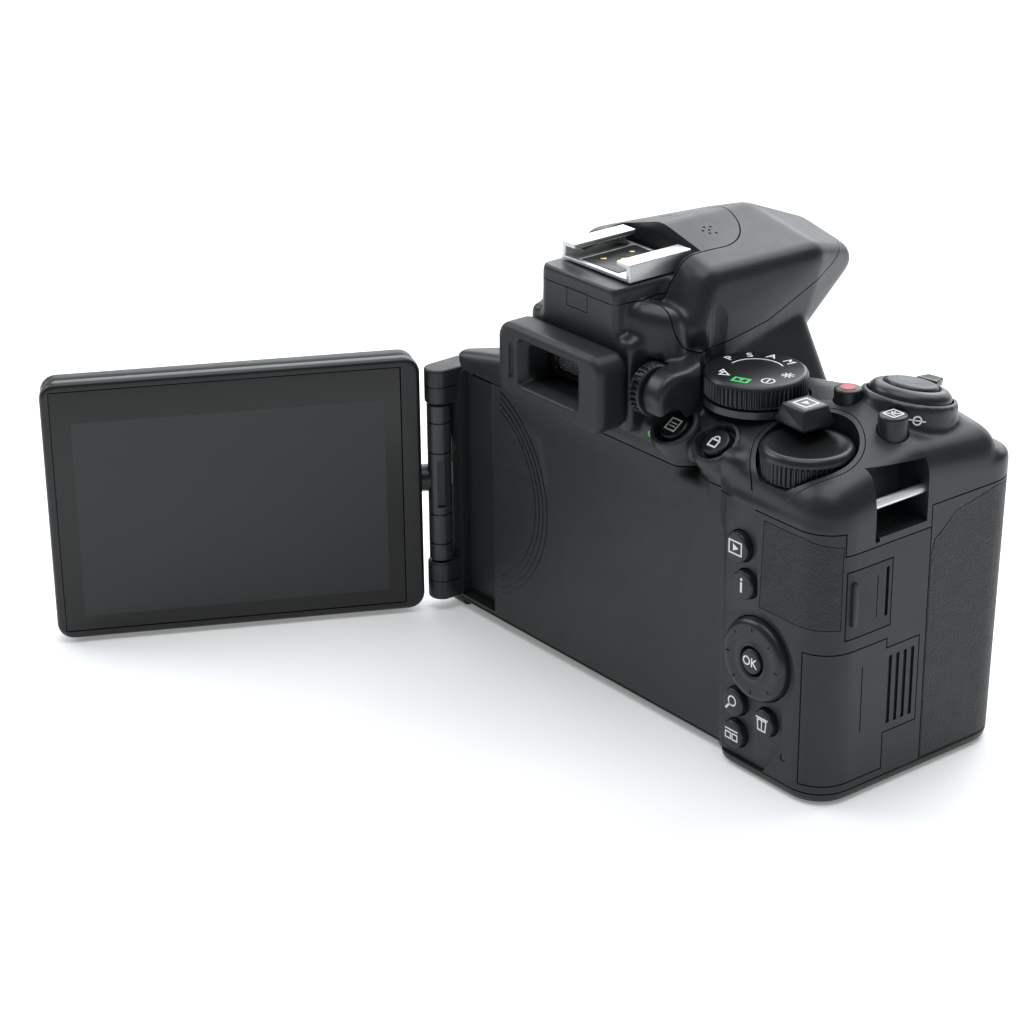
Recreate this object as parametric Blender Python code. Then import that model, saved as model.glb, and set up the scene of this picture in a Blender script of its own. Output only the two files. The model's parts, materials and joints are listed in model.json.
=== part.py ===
"""Compact reflex camera body with a swing-out monitor, as separate pieces at rest.

Everything is modelled in millimetres and turned into metres when a piece is finished.
X = 0 is the lens axis plane, Z = 0 the face it stands on, and Y = 0 lies inside the body, 5 mm in front of
the image plane. The lens side is -Y, the monitor hinge is on +X and the grip on -X.
"""
import math

import bmesh
import bpy
from mathutils import Matrix, Vector

MM = 0.001
GAP = 0.3                 # clearance between neighbouring pieces
WALL = 2.2                # shell wall
BAY_TOP = 60.6           # the closed monitor reaches just under this
BAY_FLOOR = 11.5          # Y of the recess the monitor folds into
SENSOR_Y = 5.0            # image plane
REGISTER = 46.5           # lens flange to image plane
FLANGE_Y = SENSOR_Y - REGISTER
LENS_Z = 34.5             # height of the lens axis
BOSS_Y = FLANGE_Y + 3.7   # front of the round boss that carries the mount ring
SIDE_SEAM_Y = -13.2       # front/rear cover seam on the grip side
REAR_SEAM_Y = -2.2        # the same seam elsewhere
TOP_SEAM_Z = 57.0
SIDE_TOP_SEAM_Z = 52.5
BASE_Z = 2.2              # top of the bottom cover

HINGE = (51.4, 14.4)      # monitor swing axis
HINGE_ANGLE = 62.5        # degrees from +X to the opened monitor
MONITOR_W, MONITOR_H, MONITOR_T = 80.6, 59.2, 8.2
MONITOR_GAP = 4.2         # swing axis to the monitor's near edge
MONITOR_OFFSET = 1.6      # swing axis to the monitor's middle plane
TILT_Z = 30.4
ARM_LOW, ARM_HIGH = 11.7, 48.5     # the moving barrel between the body's two hinge knuckles

FLASH_PIVOT = (2.5, 85.5)
EAR_R = 7.5
SHUTTER_TILT = 12.0       # forward lean of the release button, degrees
CUP_TILT = 35.0           # rearward lean of the two small rear deck buttons

MODE_DIAL = (-30.7, -1.5, 71.6, 76.4, 10.3)       # x, y, bottom, top, radius
COMMAND_DIAL = (-50.8, 3.7, 62.6, 68.7, 9.1)
SHUTTER = (-53.0, -21.0, 73.0)
MOVIE = (-46.9, -10.4, 75.2, 2.7)
EXPOSURE = (-59.1, -10.3, 73.5, 2.9)
DIOPTER = (-17.7, 14.6, 72.7)
INFO = (-23.6, 13.2, 66.6, 3.0)
AE_LOCK = (-33.7, 11.4, 65.9, 3.0)

PANEL_Y = 14.1            # face of the rear control panel
REAR_BUTTONS = {          # name: x, z, radius
    "playback_button": (-43.6, 47.7, 3.1),
    "shortcut_button": (-45.5, 40.4, 2.9),
    "zoom_in_button": (-43.7, 14.4, 2.9),
    "zoom_out_button": (-43.8, 7.4, 2.9),
    "delete_button": (-52.3, 13.3, 2.8),
}
MIRROR_PIVOT = (SENSOR_Y - 9.0, LENS_Z + 13.5)
LOCK_X = 25.2             # lens lock pin
STRAP_BARS = {"strap_bar_right": (-65.8, 60.2), "strap_bar_left": (53.8, 48.2)}
SELECTOR = (-49.2, 25.7, 8.6)

PLASTIC = (0.022, 0.023, 0.025, 1.0)
RUBBER = (0.012, 0.012, 0.013, 1.0)
STEEL = (0.62, 0.61, 0.58, 1.0)
GLASS = (0.05, 0.06, 0.07, 1.0)
SILICON = (0.10, 0.16, 0.14, 1.0)
GREEN = (0.02, 0.12, 0.05, 1.0)


def clear_scene():
    for obj in list(bpy.data.objects):
        bpy.data.objects.remove(obj, do_unlink=True)


def add_object(name, bm):
    mesh = bpy.data.meshes.new(name)
    bm.normal_update()
    bm.to_mesh(mesh)
    bm.free()
    obj = bpy.data.objects.new(name, mesh)
    bpy.context.scene.collection.objects.link(obj)
    return obj


def hull(points):
    """The convex solid around a set of points."""
    bm = bmesh.new()
    for point in points:
        bm.verts.new(point)
    bmesh.ops.remove_doubles(bm, verts=bm.verts, dist=1e-4)
    made = bmesh.ops.convex_hull(bm, input=bm.verts, use_existing_faces=False)
    spare = [v for v in made["geom_interior"] + made["geom_unused"] if isinstance(v, bmesh.types.BMVert)]
    bmesh.ops.delete(bm, geom=list(set(spare)), context="VERTS")
    bmesh.ops.recalc_face_normals(bm, faces=bm.faces)
    return add_object("hull", bm)


def ball_points(x, y, z, radius, turns=12, rings=6):
    points = [(x, y, z - radius), (x, y, z + radius)]
    for ring in range(1, rings):
        lift = math.pi * ring / rings - math.pi / 2
        for turn in range(turns):
            angle = 2 * math.pi * turn / turns
            points.append((x + radius * math.cos(lift) * math.cos(angle),
                           y + radius * math.cos(lift) * math.sin(angle),
                           z + radius * math.sin(lift)))
    return points


def pebble(spheres, grow=0.0):
    """The hull of a set of spheres (x, y, z, radius), each grown alike; coarser for the cavity."""
    points = []
    facets = (8, 4) if grow <= -WALL else (12, 6)
    for x, y, z, radius in spheres:
        points += ball_points(x, y, z, radius + grow, *facets)
    return hull(points)


def mirrored(spheres):
    return [s for x, y, z, r in spheres for s in ((x, y, z, r), (-x, y, z, r))]


def slab(corners, low, high, edge, grow=0.0, turns=16):
    """An upright plate with rounded plan corners (x, y, radius, lean in y at the foot) and softened rims."""
    points = []
    rim = max(edge + min(grow, 0.0), 0.3)
    steps = ((low - grow, rim), (low - grow + rim * 0.3, rim * 0.3), (low - grow + rim, 0.0),
             (high + grow - rim, 0.0), (high + grow - rim * 0.3, rim * 0.3), (high + grow, rim))
    for x, y, radius, *lean in corners:
        for level, inset in steps:
            foot = sum(lean) * (high - level) / (high - low)
            for turn in range(turns):
                angle = 2 * math.pi * turn / turns
                reach = max(radius + grow - inset, 0.05)
                points.append((x + reach * math.cos(angle), y + foot + reach * math.sin(angle), level))
    return hull(points)


def block(low, high, edge=0.0):
    """A box, its edges chamfered by edge."""
    points = []
    for x, sx in ((low[0], 1), (high[0], -1)):
        for y, sy in ((low[1], 1), (high[1], -1)):
            for z, sz in ((low[2], 1), (high[2], -1)):
                if edge:
                    points += [(x + sx * edge, y + sy * edge, z), (x + sx * edge, y, z + sz * edge),
                               (x, y + sy * edge, z + sz * edge)]
                else:
                    points.append((x, y, z))
    return hull(points)


def prism_x(outline, low, high):
    """A (y, z) outline drawn out along X."""
    bm = bmesh.new()
    ends = [[bm.verts.new((x, y, z)) for y, z in outline] for x in (low, high)]
    bm.faces.new(ends[0])
    bm.faces.new(list(reversed(ends[1])))
    for i in range(len(outline)):
        j = (i + 1) % len(outline)
        bm.faces.new((ends[0][i], ends[1][i], ends[1][j], ends[0][j]))
    bmesh.ops.recalc_face_normals(bm, faces=bm.faces)
    return add_object("prism", bm)


def lathe(profile, centre, axis=(0, 0, 1), turns=24):
    """A (radius, height) profile turned about an axis through centre; a closed ring if no radius is 0."""
    bm = bmesh.new()
    frame = Vector(axis).normalized().to_track_quat("Z", "Y").to_matrix().to_4x4()
    frame.translation = Vector(centre)
    rings = []
    for radius, height in profile:
        if radius == 0:
            rings.append([bm.verts.new(frame @ Vector((0, 0, height)))])
        else:
            rings.append([bm.verts.new(frame @ Vector((radius * math.cos(2 * math.pi * i / turns),
                                                       radius * math.sin(2 * math.pi * i / turns), height)))
                          for i in range(turns)])
    pairs = list(zip(rings, rings[1:]))
    if profile[0][0] and profile[-1][0]:
        pairs.append((rings[-1], rings[0]))
    for a, b in pairs:
        for i in range(turns):
            j = (i + 1) % turns
            face = [a[i % len(a)], a[j % len(a)], b[j % len(b)], b[i % len(b)]]
            face = [v for k, v in enumerate(face) if v not in face[:k]]
            if len(face) > 2:
                bm.faces.new(face)
    bmesh.ops.recalc_face_normals(bm, faces=bm.faces)
    return add_object("lathe", bm)


def rod(centre, axis, radius, low, high, turns=24, edge=0.0):
    """A cylinder about an axis through centre, from low to high along it."""
    if edge:
        profile = [(0, low), (radius, low), (radius, high - edge), (radius - edge, high), (0, high)]
    else:
        profile = [(0, low), (radius, low), (radius, high), (0, high)]
    return lathe(profile, centre, axis, turns)


def tube(centre, axis, inner, outer, low, high, turns=32):
    return lathe([(inner, low), (outer, low), (outer, high), (inner, high)], centre, axis, turns)


def combine(target, others, operation):
    """Joins, cuts or keeps the common part of target and each other, which are used up."""
    for other in others:
        modifier = target.modifiers.new("combine", "BOOLEAN")
        modifier.operation = operation
        modifier.solver = "EXACT"
        modifier.object = other
    graph = bpy.context.evaluated_depsgraph_get()
    mesh = bpy.data.meshes.new_from_object(target.evaluated_get(graph))
    target.modifiers.clear()
    old = target.data
    target.data = mesh
    bpy.data.meshes.remove(old)
    for other in others:
        bpy.data.objects.remove(other, do_unlink=True)
    return target


def join(first, *others):
    return combine(first, others, "UNION")


def cut(target, *others):
    return combine(target, others, "DIFFERENCE")


def common(target, *others):
    return combine(target, others, "INTERSECT")


def copy_of(obj):
    twin = obj.copy()
    twin.data = obj.data.copy()
    bpy.context.scene.collection.objects.link(twin)
    return twin


def material_of(name, colour, metallic, roughness):
    material = bpy.data.materials.new(name)
    material.use_nodes = True
    shader = material.node_tree.nodes["Principled BSDF"]
    shader.inputs["Base Color"].default_value = colour
    shader.inputs["Metallic"].default_value = metallic
    shader.inputs["Roughness"].default_value = roughness
    return material


def finish(obj, name, origin=(0, 0, 0), colour=PLASTIC, metallic=0.0, roughness=0.5, turned=0.0):
    """Names a piece, puts its origin on its axis and turns millimetres into metres.

    A piece modelled lying along +X from the origin is turned about Z by turned degrees.
    """
    if not turned:
        obj.data.transform(Matrix.Translation(-Vector(origin)))
    obj.data.transform(Matrix.Scale(MM, 4))
    obj.location = Vector(origin) * MM
    obj.rotation_euler = (0, 0, math.radians(turned))
    obj.name = obj.data.name = name
    obj.data.materials.clear()
    obj.data.materials.append(material_of(name, colour, metallic, roughness))
    return obj


# Shell -----------------------------------------------------------------------------------------

def body_chunks(grow):
    """The rounded volumes that together make the outside of the body, each grown by grow."""
    yield slab([(51.3, 7.5, 4), (51.3, -16, 4), (-58, -16, 4), (-58, 7.5, 4)], 0, 56, 1.5, grow)
    yield slab([(-60, 6.6, 7.5), (-60, -14, 7.5), (-42, -14, 4), (-42, 9.6, 4.5)], 0, 59, 1.5, grow)
    yield slab([(-60, -31.2, 7.5, 1.6), (-49.5, -34.2, 4.5, 1.6), (-44, -16, 4), (-60, -8, 7.5)],
               0, 62, 1.5, grow)
    yield pebble([(49.7, 6.2, 50.5, 5.8), (49.7, -14, 50.5, 5.8), (26, 7, 62, 5), (24, -14, 63, 5),
                  (49.7, 6.2, 40, 5.8), (49.7, -14, 40, 5.8), (20, 7, 40, 5), (20, -14, 40, 5)], grow)
    yield pebble([(45, 11, 59.2, 2.6), (-40, 11, 63, 2.8), (20, 11, 64.2, 2.8), (45, 4, 57.5, 2.6),
                  (-40, 4, 63, 2.8), (20, 4, 65, 2.8)], grow)
    yield pebble([(-61.3, -12, 63, 6.2), (-50, -12, 67.9, 5.5), (-52, -22, 66, 6.0), (-60, -28, 60.5, 7.5),
                  (-50, -31, 62, 6.0), (-26, -16, 65, 5), (-24, 5, 64.8, 4.8), (-40, 8.6, 61.2, 4.6),
                  (-60.2, 6.4, 58.5, 7.3), (-60, -28, 50, 7.5), (-60.2, 6.4, 50, 7.3), (-20, -12, 47, 5),
                  (-40, 8.6, 50, 4.6), (-49.6, -34.2, 56, 4.5)], grow)
    yield pebble(mirrored([(20, 7.6, 61, 5), (20, -28, 57, 5), (20, 6.4, 47, 5), (20, -27, 47, 5),
                            (16.2, 5.2, 75, 4), (14.6, -25.2, 75, 4)]), grow)
    yield pebble(mirrored([(15.0, -1.5, 89.4, 4.5), (16.6, 3.4, 82.5, 4), (12.5, -27, 76, 4),
                           (9, -42.6, 84.6, 3.8), (14, -30, 88.6, 4), (8.5, -38.5, 81, 4), (16.0, -2, 75.6, 4)])
                 + [(0, -46, 84.2, 3.8), (0, -14, 92.3, 5.6), (0, -26, 91.9, 5.6), (0, -40, 87.4, 4.6),
                    (0, -2, 92.3, 5.6)], grow)
    yield hull([(r * math.cos(a), y, LENS_Z + r * math.sin(a))
                for y, r in ((-14, 30.4 + grow), (BOSS_Y - grow + 1, 29.6 + grow),
                             (BOSS_Y - grow, 29.0 + grow))
                for a in (2 * math.pi * i / 48 for i in range(48))])
    yield pebble(mirrored([(13, 11.6, 79, 3.5), (16.8, 8.8, 79, 3.5), (13, 11.6, 85, 3.2),
                           (16.6, 9.0, 84.3, 3.2), (13, 2, 79, 3.5)]), grow)
    yield block((-11.5 - grow, -6, 76 - grow), (11.5 + grow, 18 + grow, 91.6 + grow), 1.2)
    yield block((-15.6 - grow, 2, 62.4 - grow), (15.6 + grow, 17.8 + grow, 82 + grow), 1.5)
    yield hull([(x, DIOPTER[1] + (5.0 + grow) * math.cos(a), DIOPTER[2] + (5.0 + grow) * math.sin(a))
                for x in (-21.2 + grow, -26.4 - grow) for a in (2 * math.pi * i / 20 for i in range(20))]
               + [(x, 3, z) for x in (-16, -23 - grow) for z in (66 - grow, 78 + grow)])
    yield boss(SHUTTER, SHUTTER_TILT, 9.6 + grow, -14, 0.2 + grow)


def tilted_axis(degrees):
    """A unit vector leaning from +Z towards the lens side."""
    return (0.0, -math.sin(math.radians(degrees)), math.cos(math.radians(degrees)))


def boss(centre, tilt, radius, low, high):
    return rod(centre, tilted_axis(tilt), radius, low, high, turns=32)


def body_pits(grow):
    """What is sunk into the outside: the shoe well, the dial wells, the strap notches and the monitor bay."""
    yield block((-11.7 - grow, -3.8 - grow, 91.3 - grow), (11.7 + grow, 40, 120))
    yield rod(MODE_DIAL[:2] + (0,), (0, 0, 1), 10.9 + grow, 69.6 - grow, 90, turns=32)
    yield rod(COMMAND_DIAL[:2] + (0,), (0, 0, 1), COMMAND_DIAL[4] + 0.6 + grow, COMMAND_DIAL[2] - GAP - grow,
              90, turns=32)
    yield boss(SHUTTER, SHUTTER_TILT, 8.5 + grow, -0.8 - grow, 20)
    yield block((-51.4 - grow, -5.0 - grow, 69.6 - grow), (-40 + grow, 3.6 + grow, 80))
    yield rod(DIOPTER, (-1, 0, 0), 5.7 + grow, -1.7 - grow, 3.0 + grow, turns=28)
    yield block((-80, -12 - grow, 54 - grow), (-59.6 + grow, 0.6 + grow, 66.6 + grow))
    yield block((-36.8 - grow, 6 - grow, -5), (47.6 + grow, 40, 1.9 + grow))
    yield block((-36.8 - grow, BAY_FLOOR + 0.15 - grow, 33), (49.0 + grow, 40, BAY_TOP + grow))
    yield block((49.5 - grow, -12 - grow, 42 - grow), (80, 0.6 + grow, 70))


def body_solid(grow=0.0, pits=0.0):
    chunks = list(body_chunks(grow))
    return cut(join(*chunks), *body_pits(pits))


def holes():
    """Everything that passes through the shell wall."""
    out = []
    for x, z, radius in REAR_BUTTONS.values():
        out.append(rod((x, 0, z), (0, 1, 0), radius + GAP, 5, 30))
    out.append(rod((SELECTOR[0], 0, SELECTOR[1]), (0, 1, 0), SELECTOR[2] + GAP, 5, 30, turns=32))
    for (x, y, z, radius), deep in ((MOVIE, 11.3), (EXPOSURE, 5.9)):
        out.append(rod((x, y, 0), (0, 0, 1), radius + GAP, z - deep, z + 5))
    for x, y, z, radius in (INFO, AE_LOCK):
        out.append(rod((x, y, z), tilted_axis(-CUP_TILT), radius + GAP, -9, 6))
    out.append(rod(SHUTTER, tilted_axis(SHUTTER_TILT), 3.3, -17, 6, turns=20))
    out.append(rod(MODE_DIAL[:2] + (0,), (0, 0, 1), 3.3, 60, 75))
    out.append(rod(COMMAND_DIAL[:2] + (0,), (0, 0, 1), 2.3, 54, 70))
    out.append(block((-8.7, 0, 68.4), (8.7, 30, 76.8)))
    out.append(rod((0, 0, LENS_Z), (0, -1, 0), 27, 30, 60, turns=32))
    out.append(rod((0, -14, 0), (0, 0, 1), 5.3, -5, 12))
    for x, z in STRAP_BARS.values():
        out.append(rod((x, 0, z), (0, 1, 0), 1.25, -13.6, 2.2, turns=12))
    return out


def top_region(shrink=0.0):
    return join(block((-90, -90, TOP_SEAM_Z + shrink), (90, 60, 140)),
                block((-90, SIDE_SEAM_Y + shrink, SIDE_TOP_SEAM_Z + shrink),
                      (-61.5 - shrink, 8.7 - shrink, 70)))


def flash_region(grow=0.0):
    """The part of the body top that lifts with the flash."""
    y, z = FLASH_PIVOT
    outline = [(-60, 89.6 - grow), (-42, 88.6 - grow), (-16.1, 79.9 - grow), (y - 3, z - EAR_R + 0.2 - grow),
               (y, z - 2), (y + EAR_R - 2.2 + grow, z + 6), (y + 2.2 + grow, 97), (y + 1 + grow, 110),
               (-60, 110)]
    region = join(prism_x(outline, -40, 40), rod((0, y, z), (1, 0, 0), EAR_R + grow, -40, 40, turns=32))
    centre = hull([(sx * (12.2 - grow), yy, zz) for sx in (-1, 1) for yy in (-12.5, 40) for zz in (60, 120)]
                  + [(sx * (6 - grow), -20.6 + grow, zz) for sx in (-1, 1) for zz in (60, 120)])
    return cut(region, centre)


def grip_region(grow=0.0):
    """Where rubber covers the grip front and side."""
    edge = SIDE_SEAM_Y - 0.4 + grow
    outline = [(-60, 2.6 - grow), (edge, 2.6 - grow), (edge, 50 + grow),
               (-20, 54 + grow), (-31, 56.2 + grow), (-60, 56.4 + grow)]
    return common(prism_x(outline, -90, -41.5 + grow), block((-90, -60, 0), (-41.5 + grow, 20, 56.4 + grow)))


def thumb_region(grow=0.0):
    """Where rubber covers the rear, beside the control panel, and wraps the corner."""
    return hull([(x, y, z) for y in (9.2 - grow, 30)
                 for x, z in ((-50.5 + grow, 55.6 + grow), (-49.8 + grow, 37.2 - grow), (-80, 37.2 - grow),
                              (-80, 51.8 + grow), (-61, 55.6 + grow))])


def card_region(grow=0.0):
    return join(block((-90, -2.6 - grow, 4.2 - grow), (-61.8 + grow, 30, 32 + grow)),
                block((-90, -11.5 - grow, 12 - grow), (-62 + grow, 0, 30 + grow)))


def hdmi_region(grow=0.0):
    return block((-90, -3.2 - grow, 35 - grow), (-62 + grow, 8.2 + grow, 48.8 + grow))


def connector_region(grow=0.0):
    return block((50 - grow, -15.4 - grow, 5 - grow), (90, -4 + grow, 40 + grow))


def battery_region(grow=0.0):
    return slab([(-62.5, -32.5, 2), (-47, -32.5, 2), (-47, -6, 2), (-62.5, -6, 2)], -4, 6, 0.3, grow)


def skin(region, inset, depth):
    """The layer of the body between two depths under its surface, within a region."""
    return common(cut(body_solid(-inset), body_solid(-depth)), region)


def recess(region, depth):
    """The cutter that sinks a region of the surface by depth."""
    return cut(region, body_solid(-depth, depth))


def hinge_knuckle(low, high):
    x, y = HINGE
    foot = BAY_FLOOR - 6
    return slab([(x, y, 3.0), (x - 1.4, foot, 1.8), (x + 1.4, foot, 1.8)], low, high, 0.6, turns=12)


def neck_recess():
    """Room at the corner of the bay for the monitor's neck when the monitor is swung fully open."""
    return block((50.6, 9.4, TILT_Z - 3.6), (60, 30, TILT_Z + 3.6))


def build_shell():
    solid = body_solid()
    inner = body_solid(-WALL, WALL)
    shell = cut(copy_of(solid), copy_of(inner), *holes())
    flash = common(copy_of(shell), flash_region())
    shell = cut(shell, flash_region(GAP))
    bottom_slab = block((-90, -60, -5), (90, 60, BASE_Z))
    bottom = common(copy_of(solid), bottom_slab)
    bottom = cut(bottom, rod((0, -14, 0), (0, 0, 1), 5.3, -5, 12), battery_region(GAP))
    door = common(solid, block((-90, -60, -5), (90, 60, BASE_Z - 0.4)), battery_region())
    top = common(copy_of(shell), top_region())
    lower = block((-90, -60, BASE_Z + GAP), (90, 60, 80))
    rear_zone = join(block((-90, REAR_SEAM_Y, 0), (90, 60, 80)), block((-90, SIDE_SEAM_Y, 0), (-50, 60, 80)))
    rest = cut(common(shell, lower), top_region(-GAP))
    rear = common(copy_of(rest), copy_of(rear_zone))
    front_zone = join(block((-50 + GAP, -90, 0), (90, REAR_SEAM_Y - GAP, 80)),
                      block((-90, -90, 0), (-40, SIDE_SEAM_Y - GAP, 80)))
    front = common(rest, front_zone)
    bpy.data.objects.remove(rear_zone, do_unlink=True)
    bpy.data.objects.remove(inner, do_unlink=True)
    build_front_cover(front)
    build_rear_cover(rear)
    finish(top, "top_cover", roughness=0.45)
    finish(bottom, "bottom_cover", roughness=0.5)
    build_battery_door(door)
    build_flash_head(flash)


def build_front_cover(front):
    front = cut(front, recess(grip_region(), 1.3), connector_region(GAP),
                rod((34.5, 0, LENS_Z), (0, -1, 0), 4.6, 10, 60),
                rod((40, 0, 50), (0, -1, 0), 3.3, 10, 60), rod((40, 0, 27.5), (0, -1, 0), 3.1, 10, 60),
                rod((-31, 0, 52), (0, -1, 0), 3.3, 10, 60))
    finish(front, "front_cover", roughness=0.5)


def build_rear_cover(rear):
    rear = join(rear, hinge_knuckle(BASE_Z + GAP, ARM_LOW - GAP),
                hinge_knuckle(ARM_HIGH + GAP, TOP_SEAM_Z - GAP),
                block((33.5, 6.2, 4), (49.5, BAY_FLOOR - 1, 55)))
    rear = cut(rear, block((36, 9.2, 3.2), (47.4, 30, 59)), neck_recess(), card_region(GAP), hdmi_region(GAP),
               recess(thumb_region(), 1.3))
    finish(rear, "rear_cover", roughness=0.5)


def build_rubbers():
    finish(skin(grip_region(-0.2), 0.0, 1.0), "grip_rubber", colour=RUBBER, roughness=0.8)
    finish(skin(thumb_region(-0.2), 0.0, 1.0), "thumb_rubber", colour=RUBBER, roughness=0.8)


def build_flash_head(flash):
    lamp = block((-10.5, -38.5, 81.6), (10.5, -25, 88.6), 0.8)
    post = block((-9, -36, 87), (9, -27, 94))
    solid = common(post, body_solid(-1.0))
    flash = cut(join(flash, lamp, solid), block((-9.3, -45, 82.6), (9.3, -36.6, 87.8)))
    origin = (0,) + FLASH_PIVOT
    finish(flash, "flash_head", origin, roughness=0.4)
    window = block((-9, -38.2, 82.9), (9, -36.9, 87.5), 0.3)
    finish(window, "flash_window", origin, (0.8, 0.82, 0.8, 1.0), roughness=0.15)


def build_battery_door(door):
    finish(door, "battery_door", (-45.1, -19, 0.1), roughness=0.5)


# Sides -----------------------------------------------------------------------------------------

def build_card_door():
    door = skin(card_region(), 0.0, 1.8)
    for i in range(4):
        door = cut(door, block((-69, -10.2 + 1.9 * i, 13.5), (-67.1, -9.4 + 1.9 * i, 28)))
    finish(door, "card_door", (-61.9, 14.0, 18), roughness=0.5)


def build_hdmi_cover():
    cover = skin(hdmi_region(), 0.0, 1.8)
    ridge = block((-68.3, 6.0, 37.5), (-66.8, 7.2, 46.5), 0.3)
    finish(join(cover, ridge), "hdmi_cover", (-67.4, -3.1, 42), colour=RUBBER, roughness=0.7)


def build_connector_cover():
    cover = skin(connector_region(), 0.0, 1.8)
    ridge = block((54.6, -7.0, 14), (56.0, -5.8, 31), 0.3)
    finish(join(cover, ridge), "connector_cover", (55.2, -15.3, 22.5), colour=RUBBER, roughness=0.7)


def build_strap_bars():
    for name, (x, z) in STRAP_BARS.items():
        finish(rod((x, 0, z), (0, 1, 0), 0.95, -13.3, 1.9, turns=12), name, colour=STEEL, metallic=1.0,
               roughness=0.3)


def build_tripod_socket():
    socket = cut(rod((0, -14, 0), (0, 0, 1), 5.0, 0, 9), rod((0, -14, 0), (0, 0, 1), 2.75, -1, 7.5))
    finish(socket, "tripod_socket", colour=STEEL, metallic=1.0, roughness=0.35)


# Controls --------------------------------------------------------------------------------------

def push_button(name, centre, axis, radius, depth, edge=0.5, colour=PLASTIC):
    """A button whose cap top sits at centre, with its stem running back along the axis."""
    profile = [(0, -depth), (radius * 0.6, -depth), (radius * 0.6, -2.4), (radius, -2.4), (radius, -edge),
               (radius - edge, 0), (0, 0.12)]
    finish(lathe(profile, centre, axis, 16), name, centre, colour, roughness=0.4)


def build_rear_buttons():
    for name, (x, z, radius) in REAR_BUTTONS.items():
        push_button(name, (x, PANEL_Y + 0.6, z), (0, 1, 0), radius, 4.4)


def build_selector():
    x, z, radius = SELECTOR
    ring = lathe([(3.0, -3.2), (radius, -3.2), (radius, -1.0), (radius - 0.9, -0.1), (3.9, 0.0), (3.0, -0.6)],
                 (x, PANEL_Y + 1.1, z), (0, 1, 0), 32)
    finish(ring, "multi_selector", (x, PANEL_Y - 1.0, z), roughness=0.4)
    push_button("ok_button", (x, PANEL_Y + 1.3, z), (0, 1, 0), 2.6, 5.0)


def build_deck_buttons():
    for name, (x, y, z, radius) in (("movie_button", MOVIE), ("exposure_button", EXPOSURE)):
        push_button(name, (x, y, z), (0, 0, 1), radius, 5.0)
    for name, (x, y, z, radius) in (("info_button", INFO), ("ae_lock_button", AE_LOCK)):
        push_button(name, (x, y, z), tilted_axis(-CUP_TILT), radius, 6.0)


def build_release():
    axis = tilted_axis(SHUTTER_TILT)
    ring = lathe([(5.5, -0.5), (8.1, -0.5), (8.1, 0.6), (7.4, 1.6), (5.8, 2.0), (5.5, 1.6)], SHUTTER, axis, 32)
    lever = hull([(x, y, z) for x, y in ((-2.2, 7.2), (2.2, 7.2), (-1.7, 12.0), (1.7, 12.0))
                  for z in (0.5, 2.2)])
    lever.data.transform(Matrix.Translation(Vector(SHUTTER)) @
                         Matrix.Rotation(math.radians(SHUTTER_TILT), 4, "X") @
                         Matrix.Rotation(math.radians(200), 4, "Z"))
    finish(join(ring, lever), "power_switch", SHUTTER, roughness=0.4)
    profile = [(0, -8), (2.8, -8), (2.8, 0.4), (5.2, 0.4), (5.2, 2.1), (4.5, 2.6), (2.6, 2.5), (0, 2.2)]
    finish(lathe(profile, SHUTTER, axis, 24), "shutter_button", SHUTTER, roughness=0.35)


def build_dials():
    x, y, low, high, radius = MODE_DIAL
    profile = [(0, 64), (2.2, 64), (2.2, low), (radius, low), (radius, high - 0.7), (radius - 0.7, high),
               (0, high)]
    finish(lathe(profile, (x, y, 0), (0, 0, 1), 40), "mode_dial", (x, y, low), roughness=0.4)
    x, y, low, high, radius = COMMAND_DIAL
    profile = [(0, 57), (2.0, 57), (2.0, low), (radius, low), (radius, high - 1.6), (radius - 0.9, high - 0.2),
               (radius - 1.6, high), (radius * 0.6, high - 0.9), (0, high - 1.4)]
    finish(lathe(profile, (x, y, 0), (0, 0, 1), 40), "command_dial", (x, y, low), roughness=0.4)


def build_lever():
    x, y = MODE_DIAL[:2]
    ring = tube((x, y, 0), (0, 0, 1), 2.6, 10.4, 69.9, 71.3, turns=32)
    arm = block((-17, -3.2, 69.9), (-9, 3.2, 71.3))
    tab = block((-19.2, -3.6, 69.9), (-11.2, 3.6, 74.4), 0.6)
    for piece in (arm, tab):
        piece.data.transform(Matrix.Translation((x, y, 0)) @ Matrix.Rotation(math.radians(-4), 4, "Z"))
    finish(join(ring, arm, tab), "live_view_lever", (x, y, 70.6), roughness=0.4)


def build_front_buttons():
    push_button("lens_release_button", (34.5, -24.5, LENS_Z), (0, -1, 0), 4.3, 9.0, 0.7)
    push_button("flash_button", (40, -21.0, 50), (0, -1, 0), 3.0, 7.0)
    push_button("function_button", (40, -21.0, 27.5), (0, -1, 0), 2.8, 7.0)
    lamp = lathe([(0, 0), (3.0, 0), (3.0, 3.0), (2.2, 3.8), (0, 4.2)], (-31, -16.8, 52), (0, -1, 0), 20)
    finish(lamp, "af_assist_lamp", colour=(0.5, 0.42, 0.3, 1.0), roughness=0.15)


# Viewfinder ------------------------------------------------------------------------------------

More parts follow.
